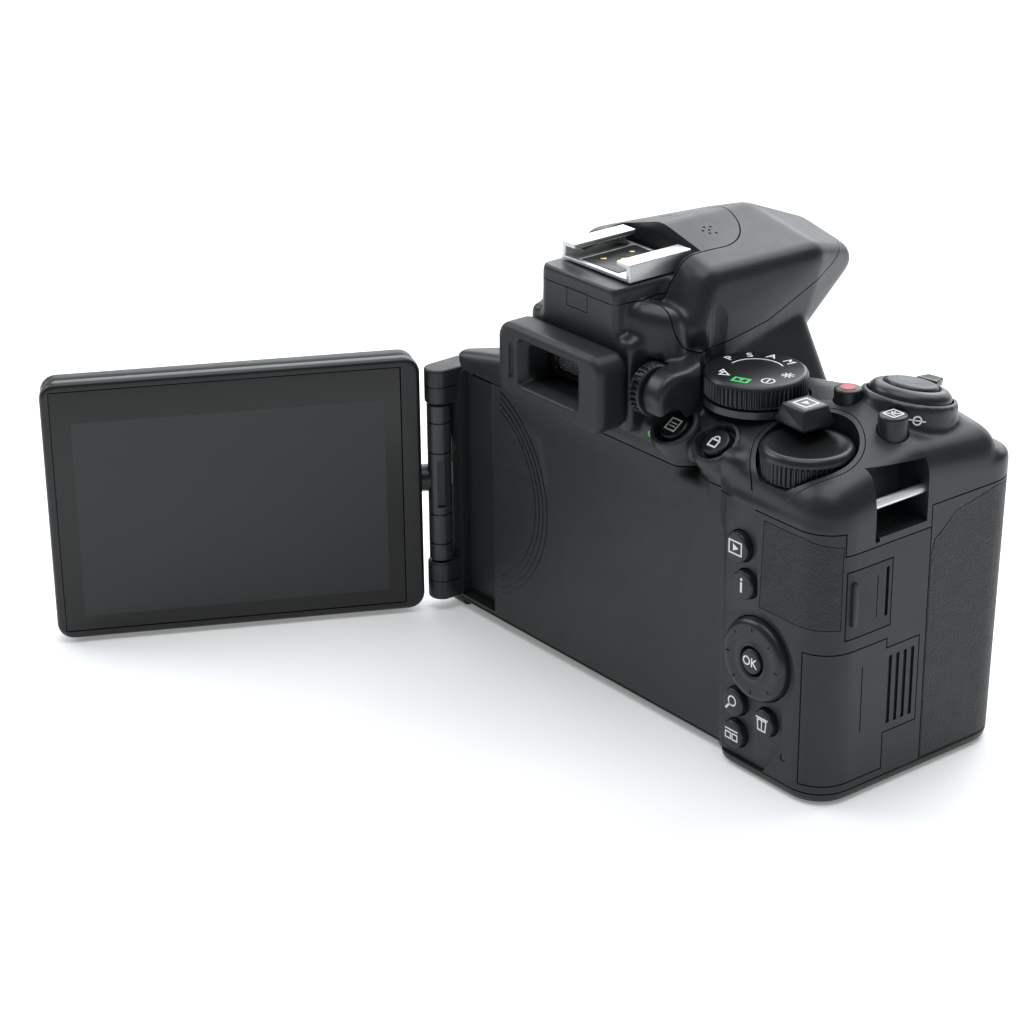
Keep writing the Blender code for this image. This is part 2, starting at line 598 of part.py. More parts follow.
def build_eyecup():
    cup = slab([(12.6, 76.5, 3.5), (-12.6, 76.5, 3.5), (-12.6, 67.4, 3.5), (12.6, 67.4, 3.5)], 18.2, 25.7, 1.2)
    stand = Matrix(((1, 0, 0, 0), (0, 0, 1, 0), (0, 1, 0, 0), (0, 0, 0, 1)))
    cup.data.transform(stand)
    cup.data.flip_normals()
    funnel = hull([(x, y, z) for y, w, low, high in ((15, 8.2, 68.8, 76.4), (22.6, 8.2, 68.8, 76.4))
                   for x in (-w, w) for z in (low, high)])
    flare = hull([(x, y, z) for y, w, low, high in ((22.5, 8.5, 68.5, 76.7), (26.5, 11.6, 66.5, 78.8))
                  for x in (-w, w) for z in (low, high)])
    cup = cut(cup, funnel, flare)
    finish(cup, "eyecup", (0, 22, 72.7), colour=RUBBER, roughness=0.75)


def build_diopter_dial():
    dial = lathe([(1.6, 0.0), (5.3, 0.0), (5.3, 2.6), (1.6, 2.6)], DIOPTER, (-1, 0, 0), 28)
    finish(dial, "diopter_dial", (-18.6,) + DIOPTER[1:], roughness=0.5)


def build_viewing_optics():
    finish(block((-8.3, 9.5, 68.8), (8.3, 14.5, 76.4), 0.6), "eyepiece_lens", colour=GLASS, roughness=0.08)
    foot = LENS_Z + 19.4
    roof = prism_x([(-24, foot), (4, foot), (4, 68), (-3, 76.5), (-16, 76.8), (-24, 70)], -12.8, 12.8)
    finish(roof, "pentamirror", colour=(0.2, 0.2, 0.21, 1.0), metallic=0.2, roughness=0.4)
    screen = block((-14, SENSOR_Y - 34, LENS_Z + 17.0), (14, SENSOR_Y - 9.5, LENS_Z + 18.2), 0.2)
    finish(screen, "focusing_screen", colour=(0.7, 0.72, 0.72, 1.0), roughness=0.25)


# Hot shoe --------------------------------------------------------------------------------------

def build_hot_shoe():
    channel = block((-10.4, -2.6, 91.6), (10.4, 13.4, 95.3), 0.25)
    channel = cut(channel, block((-9.4, -10, 92.3), (9.4, 20, 94.4)), block((-6.3, -10, 92.3), (6.3, 20, 99)),
                  block((-5.8, -1.8, 90), (5.8, 12.4, 93)))
    finish(channel, "hot_shoe_rails", colour=STEEL, metallic=1.0, roughness=0.3)
    finish(block((-5.5, -1.5, 91.6), (5.5, 12.1, 92.3)), "hot_shoe_base", colour=PLASTIC, roughness=0.5)


# Lens mount, mirror and sensor ------------------------------------------------------------------

def build_mount():
    face = -FLANGE_Y
    ring = tube((0, 0, LENS_Z), (0, -1, 0), 22.0, 28.5, face - 3.4, face, turns=48)
    for turn in range(3):
        angle = math.radians(30 + 120 * turn)
        notch = block((21.0, face - 2.6, -6.5), (24.0, face + 5, 6.5))
        notch.data.transform(Matrix.Translation((0, 0, LENS_Z)) @ Matrix.Rotation(-angle, 4, "Y") @
                             Matrix.Scale(-1, 4, (0, 1, 0)))
        notch.data.flip_normals()
        ring = cut(ring, notch)
    pin_hole = rod((LOCK_X, 0, LENS_Z), (0, -1, 0), 1.2, 30, 50, turns=16)
    finish(cut(ring, pin_hole), "lens_mount_ring", colour=STEEL, metallic=1.0, roughness=0.25)
    pin = rod((LOCK_X, 0, LENS_Z), (0, -1, 0), 0.9, face - 6.2, face + 0.9, turns=16, edge=0.3)
    finish(pin, "lens_lock_pin",
           (LOCK_X, FLANGE_Y + 2.5, LENS_Z), colour=STEEL, metallic=1.0, roughness=0.25)
    arc = lathe([(18.6, face - 4.6), (21.4, face - 4.6), (21.4, face - 2), (18.6, face - 2)], (0, 0, LENS_Z),
                (0, -1, 0), 64)
    wedge = hull([(0, y, LENS_Z) for y in (-60, -30)] + [(s * 22, y, LENS_Z + 34) for s in (-0.8, 0.8)
                                                         for y in (-60, -30)])
    finish(common(arc, wedge), "mount_contacts", colour=(0.5, 0.42, 0.2, 1.0), metallic=0.6, roughness=0.35)


def build_mirror_box():
    back, low, high = SENSOR_Y - 6.4, LENS_Z - 17.5, LENS_Z + 16.5
    box = block((-19, BOSS_Y + 0.4, low), (19, back, high), 0.5)
    box = cut(box, block((-17.4, -50, low + 1.6), (17.4, back - 1.6, high - 1.6)),
              block((-13, back - 4, LENS_Z - 8.5), (13, back + 5, LENS_Z + 8.5)),
              block((-14.6, back - 28, high - 5), (14.6, back - 2.2, high + 5)),
              rod((0,) + MIRROR_PIVOT, (1, 0, 0), 0.9, -18.2, 18.2, 12))
    finish(box, "mirror_box", colour=RUBBER, roughness=0.7)


def build_mirrors():
    y, z = MIRROR_PIVOT
    slope = Matrix.Translation((0, y, z)) @ Matrix.Rotation(math.radians(45), 4, "X")
    plate = block((-13.5, -33, -0.6), (13.5, 0.2, 0.6), 0.15)
    plate.data.transform(slope)
    pivot = rod((0, y, z), (1, 0, 0), 0.6, -17.9, 17.9, 12)
    finish(join(plate, pivot), "main_mirror", (0, y, z), colour=(0.75, 0.76, 0.78, 1.0), metallic=1.0,
           roughness=0.05)
    drop = Vector((0, y, z)) + Vector((0, -14, -1.5)) @ Matrix.Rotation(math.radians(-45), 3, "X")
    sub = block((-6, 0.2, -0.4), (6, 12.5, 0.4), 0.1)
    sub.data.transform(Matrix.Translation(drop) @ Matrix.Rotation(math.radians(-45), 4, "X"))
    finish(sub, "sub_mirror", tuple(drop), colour=(0.75, 0.76, 0.78, 1.0), metallic=1.0, roughness=0.05)


def build_shutter():
    y, z = SENSOR_Y, LENS_Z
    frame = block((-20, y - 5.9, z - 20.5), (20, y - 2.3, z + 18.9), 0.3)
    frame = cut(frame, block((-14.6, y - 6.5, z - 25), (14.6, y - 3.4, z + 11.5)),
                block((-12.4, y - 10, z - 8.3), (12.4, y, z + 8.3)))
    finish(frame, "shutter_frame", colour=RUBBER, roughness=0.6)
    finish(block((-14.2, y - 5.6, z - 0.3), (14.2, y - 5.2, z + 10.1)), "shutter_blade_upper", colour=RUBBER,
           roughness=0.4)
    finish(block((-14.2, y - 4.7, z - 9.1), (14.2, y - 4.3, z + 0.3)), "shutter_blade_lower", colour=RUBBER,
           roughness=0.4)


def build_electronics():
    y, z = SENSOR_Y, LENS_Z
    sensor = join(block((-17, y, z - 12.5), (17, y + 2.2, z + 12.5), 0.2),
                  block((-20, y + 1.2, z - 16), (20, y + 3.2, z + 16), 0.2))
    finish(sensor, "image_sensor", colour=SILICON, metallic=0.3, roughness=0.2)
    board = join(block((-27, y + 3.4, 6), (32, y + 4.1, 52)), block((22, y + 1.6, 20), (31, y + 4, 40)))
    finish(board, "main_board", colour=GREEN, roughness=0.5)
    capacitor = rod((-36, -10.8, 0), (0, 0, 1), 6.5, 6, 46, turns=24, edge=0.5)
    finish(capacitor, "flash_capacitor", colour=(0.05, 0.05, 0.06, 1.0), roughness=0.35)
    cell = block((-64, -32.5, 3.2), (-50, 3.5, 51.3), 0.8)
    finish(cell, "battery", colour=(0.09, 0.09, 0.1, 1.0), roughness=0.45)
    finish(block((-60.5, 6.6, 6), (-28.5, 8.7, 30), 0.3), "memory_card", colour=(0.06, 0.08, 0.16, 1.0),
           roughness=0.4)


# Monitor ---------------------------------------------------------------------------------------
# Drawn lying along +X from the swing axis, its screen facing +Y, then turned to the opened place.

def swing(obj, name, **look):
    x, y = HINGE
    finish(obj, name, (x, y, 0), turned=HINGE_ANGLE, **look)


def stand_up(obj):
    """Turns a plate drawn flat, with its thickness along Z, so that the thickness runs along Y."""
    obj.data.transform(Matrix(((1, 0, 0, 0), (0, 0, 1, 0), (0, 1, 0, 0), (0, 0, 0, 1))))
    obj.data.flip_normals()
    return obj


def monitor_plate(back, front, inset, edge, corner=3.6):
    low_x, high_x = MONITOR_GAP + inset + corner, MONITOR_GAP + MONITOR_W - inset - corner
    half = MONITOR_H / 2 - inset - corner
    return stand_up(slab([(x, z, corner) for x in (low_x, high_x) for z in (TILT_Z - half, TILT_Z + half)],
                         back, front, edge))


def build_monitor():
    face = MONITOR_T / 2 - MONITOR_OFFSET
    back = face - MONITOR_T
    seam = face - 3.2
    arm_hole = neck_hole()
    cover = cut(monitor_plate(back, seam - GAP, 0.3, 1.2), monitor_plate(back + 1.6, face, 2.0, 0.3), arm_hole)
    swing(cover, "monitor_back_cover", roughness=0.45)
    glass_x0, glass_x1 = MONITOR_GAP + 4.3, MONITOR_GAP + MONITOR_W - 1.9
    half = MONITOR_H / 2 - 1.9
    glass_hole = block((glass_x0 - GAP, face - 1.3, TILT_Z - half - GAP),
                       (glass_x1 + GAP, face + 2, TILT_Z + half + GAP))
    panel_hole = block((glass_x0 + 1.5, seam - 2, TILT_Z - half + 1.5),
                       (glass_x1 - 1.5, face, TILT_Z + half - 1.5))
    frame = cut(monitor_plate(seam, face, 0, 0.9), glass_hole, panel_hole, neck_hole())
    swing(frame, "monitor_front_frame", roughness=0.45)
    glass = block((glass_x0, face - 1.0, TILT_Z - half), (glass_x1, face - 0.1, TILT_Z + half), 0.15)
    panel = block((glass_x0 + 2, seam - 1.2, TILT_Z - half + 2), (glass_x1 - 2, face - 0.5, TILT_Z + half - 2))
    swing(join(glass, panel), "monitor_glass", colour=GLASS, roughness=0.12)
    arm = join(slab([(0, 0, 2.6)], ARM_LOW, ARM_HIGH, 0.3, turns=20),
               rod((0, -MONITOR_OFFSET, TILT_Z), (1, 0, 0), 3.0, 0.2, 9.4, turns=20))
    swing(arm, "hinge_arm", roughness=0.4)


def neck_hole():
    return rod((0, -MONITOR_OFFSET, TILT_Z), (1, 0, 0), 3.3, 0, 10)


def main():
    clear_scene()
    build_shell()
    build_rubbers()
    build_card_door()
    build_hdmi_cover()
    build_connector_cover()
    build_strap_bars()
    build_tripod_socket()
    build_rear_buttons()
    build_selector()
    build_deck_buttons()
    build_release()
    build_dials()
    build_lever()
    build_front_buttons()
    build_eyecup()
    build_diopter_dial()
    build_viewing_optics()
    build_hot_shoe()
    build_mount()
    build_mirror_box()
    build_mirrors()
    build_shutter()
    build_electronics()
    build_monitor()


main()
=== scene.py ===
"""The finished look of a compact reflex camera with a swing-out monitor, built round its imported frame.

Shapes are modelled in millimetres in the frame's own axes and turned into metres when a piece is finished.
"""
import json
import math

import bmesh
import bpy
from mathutils import Matrix, Vector


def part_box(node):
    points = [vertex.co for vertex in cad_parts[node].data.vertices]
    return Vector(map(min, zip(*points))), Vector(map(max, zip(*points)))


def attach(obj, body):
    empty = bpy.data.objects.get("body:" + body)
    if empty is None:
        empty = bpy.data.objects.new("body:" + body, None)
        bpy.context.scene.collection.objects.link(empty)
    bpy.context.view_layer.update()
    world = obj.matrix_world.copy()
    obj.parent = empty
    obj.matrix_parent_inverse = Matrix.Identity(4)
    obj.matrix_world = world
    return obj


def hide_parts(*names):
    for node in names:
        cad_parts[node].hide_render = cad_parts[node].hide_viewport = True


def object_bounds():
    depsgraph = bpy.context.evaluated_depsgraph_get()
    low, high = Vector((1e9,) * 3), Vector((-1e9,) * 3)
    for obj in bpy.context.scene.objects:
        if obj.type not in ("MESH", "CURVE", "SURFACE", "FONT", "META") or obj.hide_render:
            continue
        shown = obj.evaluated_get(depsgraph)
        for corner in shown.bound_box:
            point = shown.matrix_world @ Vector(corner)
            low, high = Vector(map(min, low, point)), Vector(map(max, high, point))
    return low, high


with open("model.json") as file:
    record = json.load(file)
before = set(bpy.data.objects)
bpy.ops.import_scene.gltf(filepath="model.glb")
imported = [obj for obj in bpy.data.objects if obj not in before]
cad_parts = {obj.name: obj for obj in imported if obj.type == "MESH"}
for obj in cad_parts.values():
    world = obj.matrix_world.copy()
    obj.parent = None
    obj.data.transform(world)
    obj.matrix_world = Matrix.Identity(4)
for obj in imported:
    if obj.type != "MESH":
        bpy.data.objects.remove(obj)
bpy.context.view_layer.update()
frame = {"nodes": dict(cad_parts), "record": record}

MM = 0.001
SEAM = 0.28               # visible gap between neighbouring covers
WALL = 2.0
JOINTS = {joint["name"]: joint for joint in frame["record"]["behaviour"]["joints"]}
SLOTS = {part["node"]: part["material_slot"] for part in frame["record"]["subparts"]}
BODY = "camera_body"
TOP = {}


def pivot(name):
    return Vector(JOINTS[name]["pos_m"]) / MM


def corner_box(node):
    low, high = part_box(node)
    return Vector(low) / MM, Vector(high) / MM


def middle(node):
    low, high = corner_box(node)
    return (low + high) / 2


# Driving sizes, millimetres --------------------------------------------------------------------
HINGE = pivot("monitor_swing")
FLASH_Y, FLASH_Z = pivot("flash_popup").yz
MODE = pivot("mode_dial_turn")
COMMAND = pivot("command_dial_turn")
RELEASE = pivot("power_switch_turn")
RING_LOW, RING_HIGH = corner_box("lens_mount_ring")
LENS_Z = (RING_LOW.z + RING_HIGH.z) / 2
FLANGE_Y = RING_LOW.y
BOSS_Y = FLANGE_Y + 3.7
BASE_Z = corner_box("bottom_cover")[1].z
BAY_FLOOR = 11.5
BAY_TOP = 60.6
SIDE_SEAM_Y, REAR_SEAM_Y = -13.2, -2.2
TOP_SEAM_Z, SIDE_TOP_SEAM_Z = 57.0, 52.5
RELEASE_TILT = 12.0
CUP_TILT = 35.0
DIOPTER = Vector((-17.7, 14.6, 72.7))
PANEL_Y, PANEL_STEP = 14.1, 0.9
EAR_R = 7.5
SWING_ANGLE = 62.5
MONITOR_GAP, MONITOR_W, MONITOR_H, MONITOR_T = 4.2, 80.6, 59.2, 8.2
MONITOR_OFFSET = 1.6
TILT_Z = pivot("monitor_tilt").z
SELECTOR = middle("multi_selector")
CUP_BUTTONS = ("info_button", "ae_lock_button")
CUP_BUTTON_R, CUP_BUTTON_DEPTH, CUP_BORE = 3.0, 2.4, 3.05
CAP_EDGE, CAP_CROWN = 0.5, 0.12
REAR_BUTTONS = ("playback_button", "shortcut_button", "zoom_in_button", "zoom_out_button", "delete_button")


# Making meshes ---------------------------------------------------------------------------------
STAND = Matrix(((1, 0, 0, 0), (0, 0, 1, 0), (0, 1, 0, 0), (0, 0, 0, 1)))   # swaps Y and Z

def add_object(name, bm):
    mesh = bpy.data.meshes.new(name)
    bm.normal_update()
    bm.to_mesh(mesh)
    bm.free()
    obj = bpy.data.objects.new(name, mesh)
    bpy.context.scene.collection.objects.link(obj)
    return obj


def hull(points):
    bm = bmesh.new()
    for point in points:
        bm.verts.new(point)
    bmesh.ops.remove_doubles(bm, verts=bm.verts, dist=1e-4)
    made = bmesh.ops.convex_hull(bm, input=bm.verts, use_existing_faces=False)
    spare = [v for v in made["geom_interior"] + made["geom_unused"] if isinstance(v, bmesh.types.BMVert)]
    bmesh.ops.delete(bm, geom=list(set(spare)), context="VERTS")
    bmesh.ops.recalc_face_normals(bm, faces=bm.faces)
    return add_object("hull", bm)


def ball_points(x, y, z, radius, turns=24, rings=12):
    points = [(x, y, z - radius), (x, y, z + radius)]
    for ring in range(1, rings):
        lift = math.pi * ring / rings - math.pi / 2
        for turn in range(turns):
            angle = 2 * math.pi * turn / turns
            points.append((x + radius * math.cos(lift) * math.cos(angle),
                           y + radius * math.cos(lift) * math.sin(angle), z + radius * math.sin(lift)))
    return points


def pebble(spheres):
    return hull([p for sphere in spheres for p in ball_points(*sphere)])


def mirrored(spheres):
    return [s for x, y, z, r in spheres for s in ((x, y, z, r), (-x, y, z, r))]


def slab(corners, low, high, edge, turns=32, arc=5):
    """An upright plate with rounded plan corners (x, y, radius, lean) and quarter-round rims."""
    levels = []
    for step in range(arc + 1):
        angle = math.pi / 2 * step / arc
        inset, rise = edge * (1 - math.sin(angle)), edge * (1 - math.cos(angle))
        levels += [(low + rise, inset), (high - rise, inset)]
    points = []
    for x, y, radius, *lean in corners:
        for level, inset in levels:
            foot = sum(lean) * (high - level) / (high - low)
            reach = max(radius - inset, 0.02)
            points += [(x + reach * math.cos(2 * math.pi * t / turns),
                        y + foot + reach * math.sin(2 * math.pi * t / turns), level) for t in range(turns)]
    return hull(points)


def block(low, high, edge=0.0):
    """A box; with an edge, every edge is rounded to that radius."""
    if not edge:
        return hull([(x, y, z) for x in (low[0], high[0]) for y in (low[1], high[1])
                     for z in (low[2], high[2])])
    lows, highs = [v + edge for v in low], [v - edge for v in high]
    return hull([p for x in (lows[0], highs[0]) for y in (lows[1], highs[1]) for z in (lows[2], highs[2])
                 for p in ball_points(x, y, z, edge, 12, 6)])


def extruded(outline, low, high, axis="x"):
    """A flat outline drawn out along an axis; the outline holds the other two coordinates in order."""
    place = {"x": lambda a, b, h: (h, a, b), "y": lambda a, b, h: (a, h, b),
             "z": lambda a, b, h: (a, b, h)}[axis]
    bm = bmesh.new()
    ends = [[bm.verts.new(place(a, b, level)) for a, b in outline] for level in (low, high)]
    bm.faces.new(ends[0])
    bm.faces.new(list(reversed(ends[1])))
    for i in range(len(outline)):
        j = (i + 1) % len(outline)
        bm.faces.new((ends[0][i], ends[1][i], ends[1][j], ends[0][j]))
    bmesh.ops.recalc_face_normals(bm, faces=bm.faces)
    return add_object("extruded", bm)


def turned(profile, centre, axis=(0, 0, 1), turns=96, teeth=0):
    """A (radius, height[, groove depth]) profile turned about an axis, toothed where grooved."""
    bm = bmesh.new()
    place = Vector(axis).normalized().to_track_quat("Z", "Y").to_matrix().to_4x4()
    place.translation = Vector(centre)
    turns = teeth * 4 if teeth else turns
    rings = []
    for radius, height, *groove in profile:
        if radius == 0:
            rings.append([bm.verts.new(place @ Vector((0, 0, height)))])
            continue
        ring = []
        for i in range(turns):
            reach = radius - (sum(groove) if i % 4 > 1 else 0)
            angle = 2 * math.pi * i / turns
            ring.append(bm.verts.new(place @ Vector((reach * math.cos(angle), reach * math.sin(angle),
                                                     height))))
        rings.append(ring)
    pairs = list(zip(rings, rings[1:]))
    if profile[0][0] and profile[-1][0]:
        pairs.append((rings[-1], rings[0]))
    for a, b in pairs:
        for i in range(turns):
            j = (i + 1) % turns
            face = [a[i % len(a)], a[j % len(a)], b[j % len(b)], b[i % len(b)]]
            face = [v for k, v in enumerate(face) if v not in face[:k]]
            if len(face) > 2:
                bm.faces.new(face)
    bmesh.ops.recalc_face_normals(bm, faces=bm.faces)
    return add_object("turned", bm)


def rod(centre, axis, radius, low, high, turns=64, edge=0.0):
    profile = [(0, low), (radius, low), (radius, high), (0, high)]
    if edge:
        profile = [(0, low), (radius, low), (radius, high - edge), (radius - edge * 0.3, high - edge * 0.3),
                   (radius - edge, high), (0, high)]
    return turned(profile, centre, axis, turns)


def tube(centre, axis, inner, outer, low, high, turns=96):
    return turned([(inner, low), (outer, low), (outer, high), (inner, high)], centre, axis, turns)


def replace_mesh(obj):
    """Bakes an object's modifiers into its mesh."""
    graph = bpy.context.evaluated_depsgraph_get()
    mesh = bpy.data.meshes.new_from_object(obj.evaluated_get(graph))
    obj.modifiers.clear()
    old = obj.data
    obj.data = mesh
    bpy.data.meshes.remove(old)
    return obj


def combine(target, others, operation):
    for other in others:
        modifier = target.modifiers.new("combine", "BOOLEAN")
        modifier.operation = operation
        modifier.solver = "MANIFOLD"
        modifier.object = other
    replace_mesh(target)
    for other in others:
        bpy.data.objects.remove(other, do_unlink=True)
    return target


def join(first, *others):
    return combine(first, others, "UNION")


def cut(target, *others):
    return combine(target, others, "DIFFERENCE")


def common(target, *others):
    return combine(target, others, "INTERSECT")


def copy_of(obj):
    twin = obj.copy()
    twin.data = obj.data.copy()
    bpy.context.scene.collection.objects.link(twin)
    return twin


def merged(objects):
    """Puts several meshes in one object without joining their surfaces."""
    bm = bmesh.new()
    for obj in objects:
        bm.from_mesh(obj.data)
        bpy.data.objects.remove(obj, do_unlink=True)
    return add_object("merged", bm)


def voxels(obj, size):
    modifier = obj.modifiers.new("voxels", "REMESH")
    modifier.mode = "VOXEL"
    modifier.voxel_size = size
    return replace_mesh(obj)


def smoothed(obj, times, factor=0.5):
    modifier = obj.modifiers.new("smooth", "SMOOTH")
    modifier.factor = factor
    modifier.iterations = times
    return replace_mesh(obj)


def moved(obj, matrix):
    obj.data.transform(matrix)
    if matrix.determinant() < 0:
        obj.data.flip_normals()
    return obj


def standing(outline, low, high, *bends, **arcs):
    """A slab drawn in X and Z, from low to high in Y."""
    return moved(slab(outline, low, high, *bends, **arcs), STAND)


def finish(obj, name, body, material, *nodes, slot=None, angle=32):
    """Names a piece, makes it metres, gives it its material and sets what it rides on and replaces."""
    obj.data.transform(Matrix.Scale(MM, 4))
    obj.name = obj.data.name = name
    obj.data.materials.clear()
    obj.data.materials.append(material)
    obj.data.shade_smooth()
    obj.data.set_sharp_from_angle(angle=math.radians(angle))
    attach(obj, body)
    if nodes:
        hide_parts(*nodes)
    slot = slot or (SLOTS[nodes[0]] if nodes else None)
    return obj


# Materials -------------------------------------------------------------------------------------

def link(tree, source, target):
    tree.links.new(source, target)


def noise_node(tree, coordinates, scale, detail=2.0, stretch=None):
    """A noise texture in object space, scale in features per metre, optionally stretched along an axis."""
    if stretch:
        mapping = tree.nodes.new("ShaderNodeMapping")
        mapping.inputs["Scale"].default_value = stretch
        link(tree, coordinates, mapping.inputs["Vector"])
        coordinates = mapping.outputs["Vector"]
    noise = tree.nodes.new("ShaderNodeTexNoise")
    noise.inputs["Scale"].default_value = scale
    noise.inputs["Detail"].default_value = detail
    link(tree, coordinates, noise.inputs["Vector"])
    return noise


def surface(name, colour, roughness, metallic=0.0, grain=2600.0, bump=0.2, depth=0.02, spread=0.12, edge=0.0,
            pebbles=0.0, stretch=None, coat=0.0, specular=0.4):
    """A procedural finish: colour that varies slowly, roughness that varies faster, a bump of grain or
    of leather pebbles, and edges worn lighter."""
    material = bpy.data.materials.new(name)
    material.use_nodes = True
    tree = material.node_tree
    shader = tree.nodes["Principled BSDF"]
    shader.inputs["Metallic"].default_value = metallic
    shader.inputs["Coat Weight"].default_value = coat
    shader.inputs["Coat Roughness"].default_value = 0.08
    shader.inputs["Specular IOR Level"].default_value = specular
    coordinates = tree.nodes.new("ShaderNodeTexCoord").outputs["Object"]

    broad = noise_node(tree, coordinates, 55.0, 4.0)
    ramp = tree.nodes.new("ShaderNodeValToRGB")
    ramp.color_ramp.elements[0].position = 0.3
    ramp.color_ramp.elements[1].position = 0.7
    ramp.color_ramp.elements[0].color = [c * (1 - spread) for c in colour[:3]] + [1]
    ramp.color_ramp.elements[1].color = [min(c * (1 + spread), 1) for c in colour[:3]] + [1]
    link(tree, broad.outputs["Fac"], ramp.inputs["Fac"])
    tint = ramp.outputs["Color"]
    if edge:
        worn = tree.nodes.new("ShaderNodeNewGeometry").outputs["Pointiness"]
        sharp = tree.nodes.new("ShaderNodeMapRange")
        sharp.inputs["From Min"].default_value = 0.52
        sharp.inputs["From Max"].default_value = 0.62
        sharp.inputs["To Max"].default_value = edge
        link(tree, worn, sharp.inputs["Value"])
        mix = tree.nodes.new("ShaderNodeMix")
        mix.data_type = "RGBA"
        mix.inputs["B"].default_value = [min(c * 2.6 + 0.02, 1) for c in colour[:3]] + [1]
        link(tree, sharp.outputs["Result"], mix.inputs["Factor"])
        link(tree, tint, mix.inputs["A"])
        tint = mix.outputs["Result"]
    link(tree, tint, shader.inputs["Base Color"])

    smear = noise_node(tree, coordinates, 320.0, 3.0, stretch)
    shine = tree.nodes.new("ShaderNodeMapRange")
    shine.inputs["To Min"].default_value = max(roughness - 0.07, 0.02)
    shine.inputs["To Max"].default_value = roughness + 0.07
    link(tree, smear.outputs["Fac"], shine.inputs["Value"])
    link(tree, shine.outputs["Result"], shader.inputs["Roughness"])

    height = noise_node(tree, coordinates, grain, 2.0, stretch).outputs["Fac"]
    if pebbles:
        wander = tree.nodes.new("ShaderNodeVectorMath")
        wander.operation = "MULTIPLY_ADD"
        wander.inputs[1].default_value = (0.0009, 0.0009, 0.0009)
        link(tree, noise_node(tree, coordinates, pebbles * 0.7, 1.0).outputs["Color"], wander.inputs[0])
        link(tree, coordinates, wander.inputs[2])
        cells = tree.nodes.new("ShaderNodeTexVoronoi")
        cells.feature = "DISTANCE_TO_EDGE"
        cells.inputs["Scale"].default_value = pebbles
        link(tree, wander.outputs["Vector"], cells.inputs["Vector"])
        dome = tree.nodes.new("ShaderNodeMapRange")
        dome.interpolation_type = "SMOOTHSTEP"
        dome.inputs["From Max"].default_value = 0.28
        link(tree, cells.outputs["Distance"], dome.inputs["Value"])
        height = dome.outputs["Result"]
    relief = tree.nodes.new("ShaderNodeBump")
    relief.inputs["Strength"].default_value = bump
    relief.inputs["Distance"].default_value = depth * MM
    link(tree, height, relief.inputs["Height"])
    link(tree, relief.outputs["Normal"], shader.inputs["Normal"])
    return material


PLASTIC = surface("satin shell", (0.010, 0.012, 0.013), 0.38, bump=0.5, depth=0.035, edge=0.5)
HUMP = surface("smooth satin", (0.014, 0.017, 0.019), 0.36, bump=0.3, depth=0.02, edge=0.4)
BAY = surface("fine matt shell", (0.012, 0.014, 0.015), 0.44, bump=0.5, depth=0.03, edge=0.4)
CONTROL = surface("control plastic", (0.009, 0.010, 0.011), 0.32, bump=0.25, depth=0.02, edge=0.7)
GLOSSY = surface("glossy plastic", (0.010, 0.010, 0.011), 0.16, bump=0.1, depth=0.01, edge=0.3)
LEATHER = surface("pebbled rubber", (0.012, 0.013, 0.014), 0.48, bump=0.7, depth=0.09, pebbles=1250.0,
                  edge=0.2)
SOFT = surface("soft rubber", (0.010, 0.011, 0.012), 0.48, bump=0.35, depth=0.03, edge=0.3)
STEEL = surface("brushed steel", (0.74, 0.75, 0.75), 0.40, 1.0, grain=900.0, bump=0.15, depth=0.02,
                stretch=(1, 0.08, 1), spread=0.06)
CHROME = surface("polished steel", (0.80, 0.80, 0.79), 0.24, 1.0, grain=900.0, bump=0.08, depth=0.01,
                 spread=0.04)
GOLD = surface("gold contact", (0.80, 0.60, 0.25), 0.25, 1.0, grain=1500.0, bump=0.1, depth=0.01)
WHITE = surface("white print", (0.80, 0.81, 0.80), 0.45, bump=0.1, depth=0.01, spread=0.03)
GREEN = surface("green print", (0.05, 0.62, 0.14), 0.45, bump=0.1, depth=0.01, spread=0.05)
RED = surface("red dot", (0.50, 0.035, 0.04), 0.35, bump=0.1, depth=0.01, spread=0.05)
GREY = surface("grey print", (0.16, 0.165, 0.17), 0.4, bump=0.1, depth=0.01, spread=0.05)
DARK = surface("flocked black", (0.006, 0.006, 0.006), 0.85, bump=0.5, depth=0.03)
SCREEN_EDGE = surface("screen border", (0.006, 0.006, 0.006), 0.12, grain=400.0, bump=0.02, depth=0.01,
                      spread=0.05)
SCREEN = surface("screen area", (0.016, 0.019, 0.022), 0.2, grain=9000.0, bump=0.05, depth=0.005,
                 spread=0.04)
DIFFUSER = surface("ribbed diffuser", (0.78, 0.80, 0.80), 0.12, grain=700.0, bump=0.6, depth=0.2,
                   stretch=(1, 0.05, 0.05), coat=0.5)
LENS = surface("coated glass", (0.34, 0.36, 0.40), 0.06, 0.7, grain=300.0, bump=0.02, depth=0.01, coat=1.0)
MIRROR = surface("front silvered", (0.82, 0.83, 0.85), 0.04, 1.0, grain=200.0, bump=0.01, depth=0.01,
                 spread=0.02)
SENSOR = surface("sensor filter", (0.05, 0.12, 0.10), 0.08, grain=300.0, bump=0.02, depth=0.01, coat=1.0)
BOARD = surface("lacquered board", (0.015, 0.10, 0.04), 0.35, grain=500.0, bump=0.5, depth=0.1)
CELL = surface("dark case", (0.05, 0.05, 0.055), 0.3, bump=0.2, depth=0.02, edge=0.3)
LAMP = surface("lamp glass", (0.42, 0.36, 0.28), 0.1, grain=600.0, bump=0.3, depth=0.1, coat=1.0)

SLOT_FINISH = {"shell": PLASTIC, "controls": CONTROL, "grip": LEATHER, "soft": SOFT, "steel": STEEL,
               "screen": SCREEN_EDGE, "lens": LENS, "mirror": MIRROR, "inner": DARK, "sensor": SENSOR,
               "board": BOARD, "cell": CELL, "gold": GOLD}


# The outside of the body -----------------------------------------------------------------------

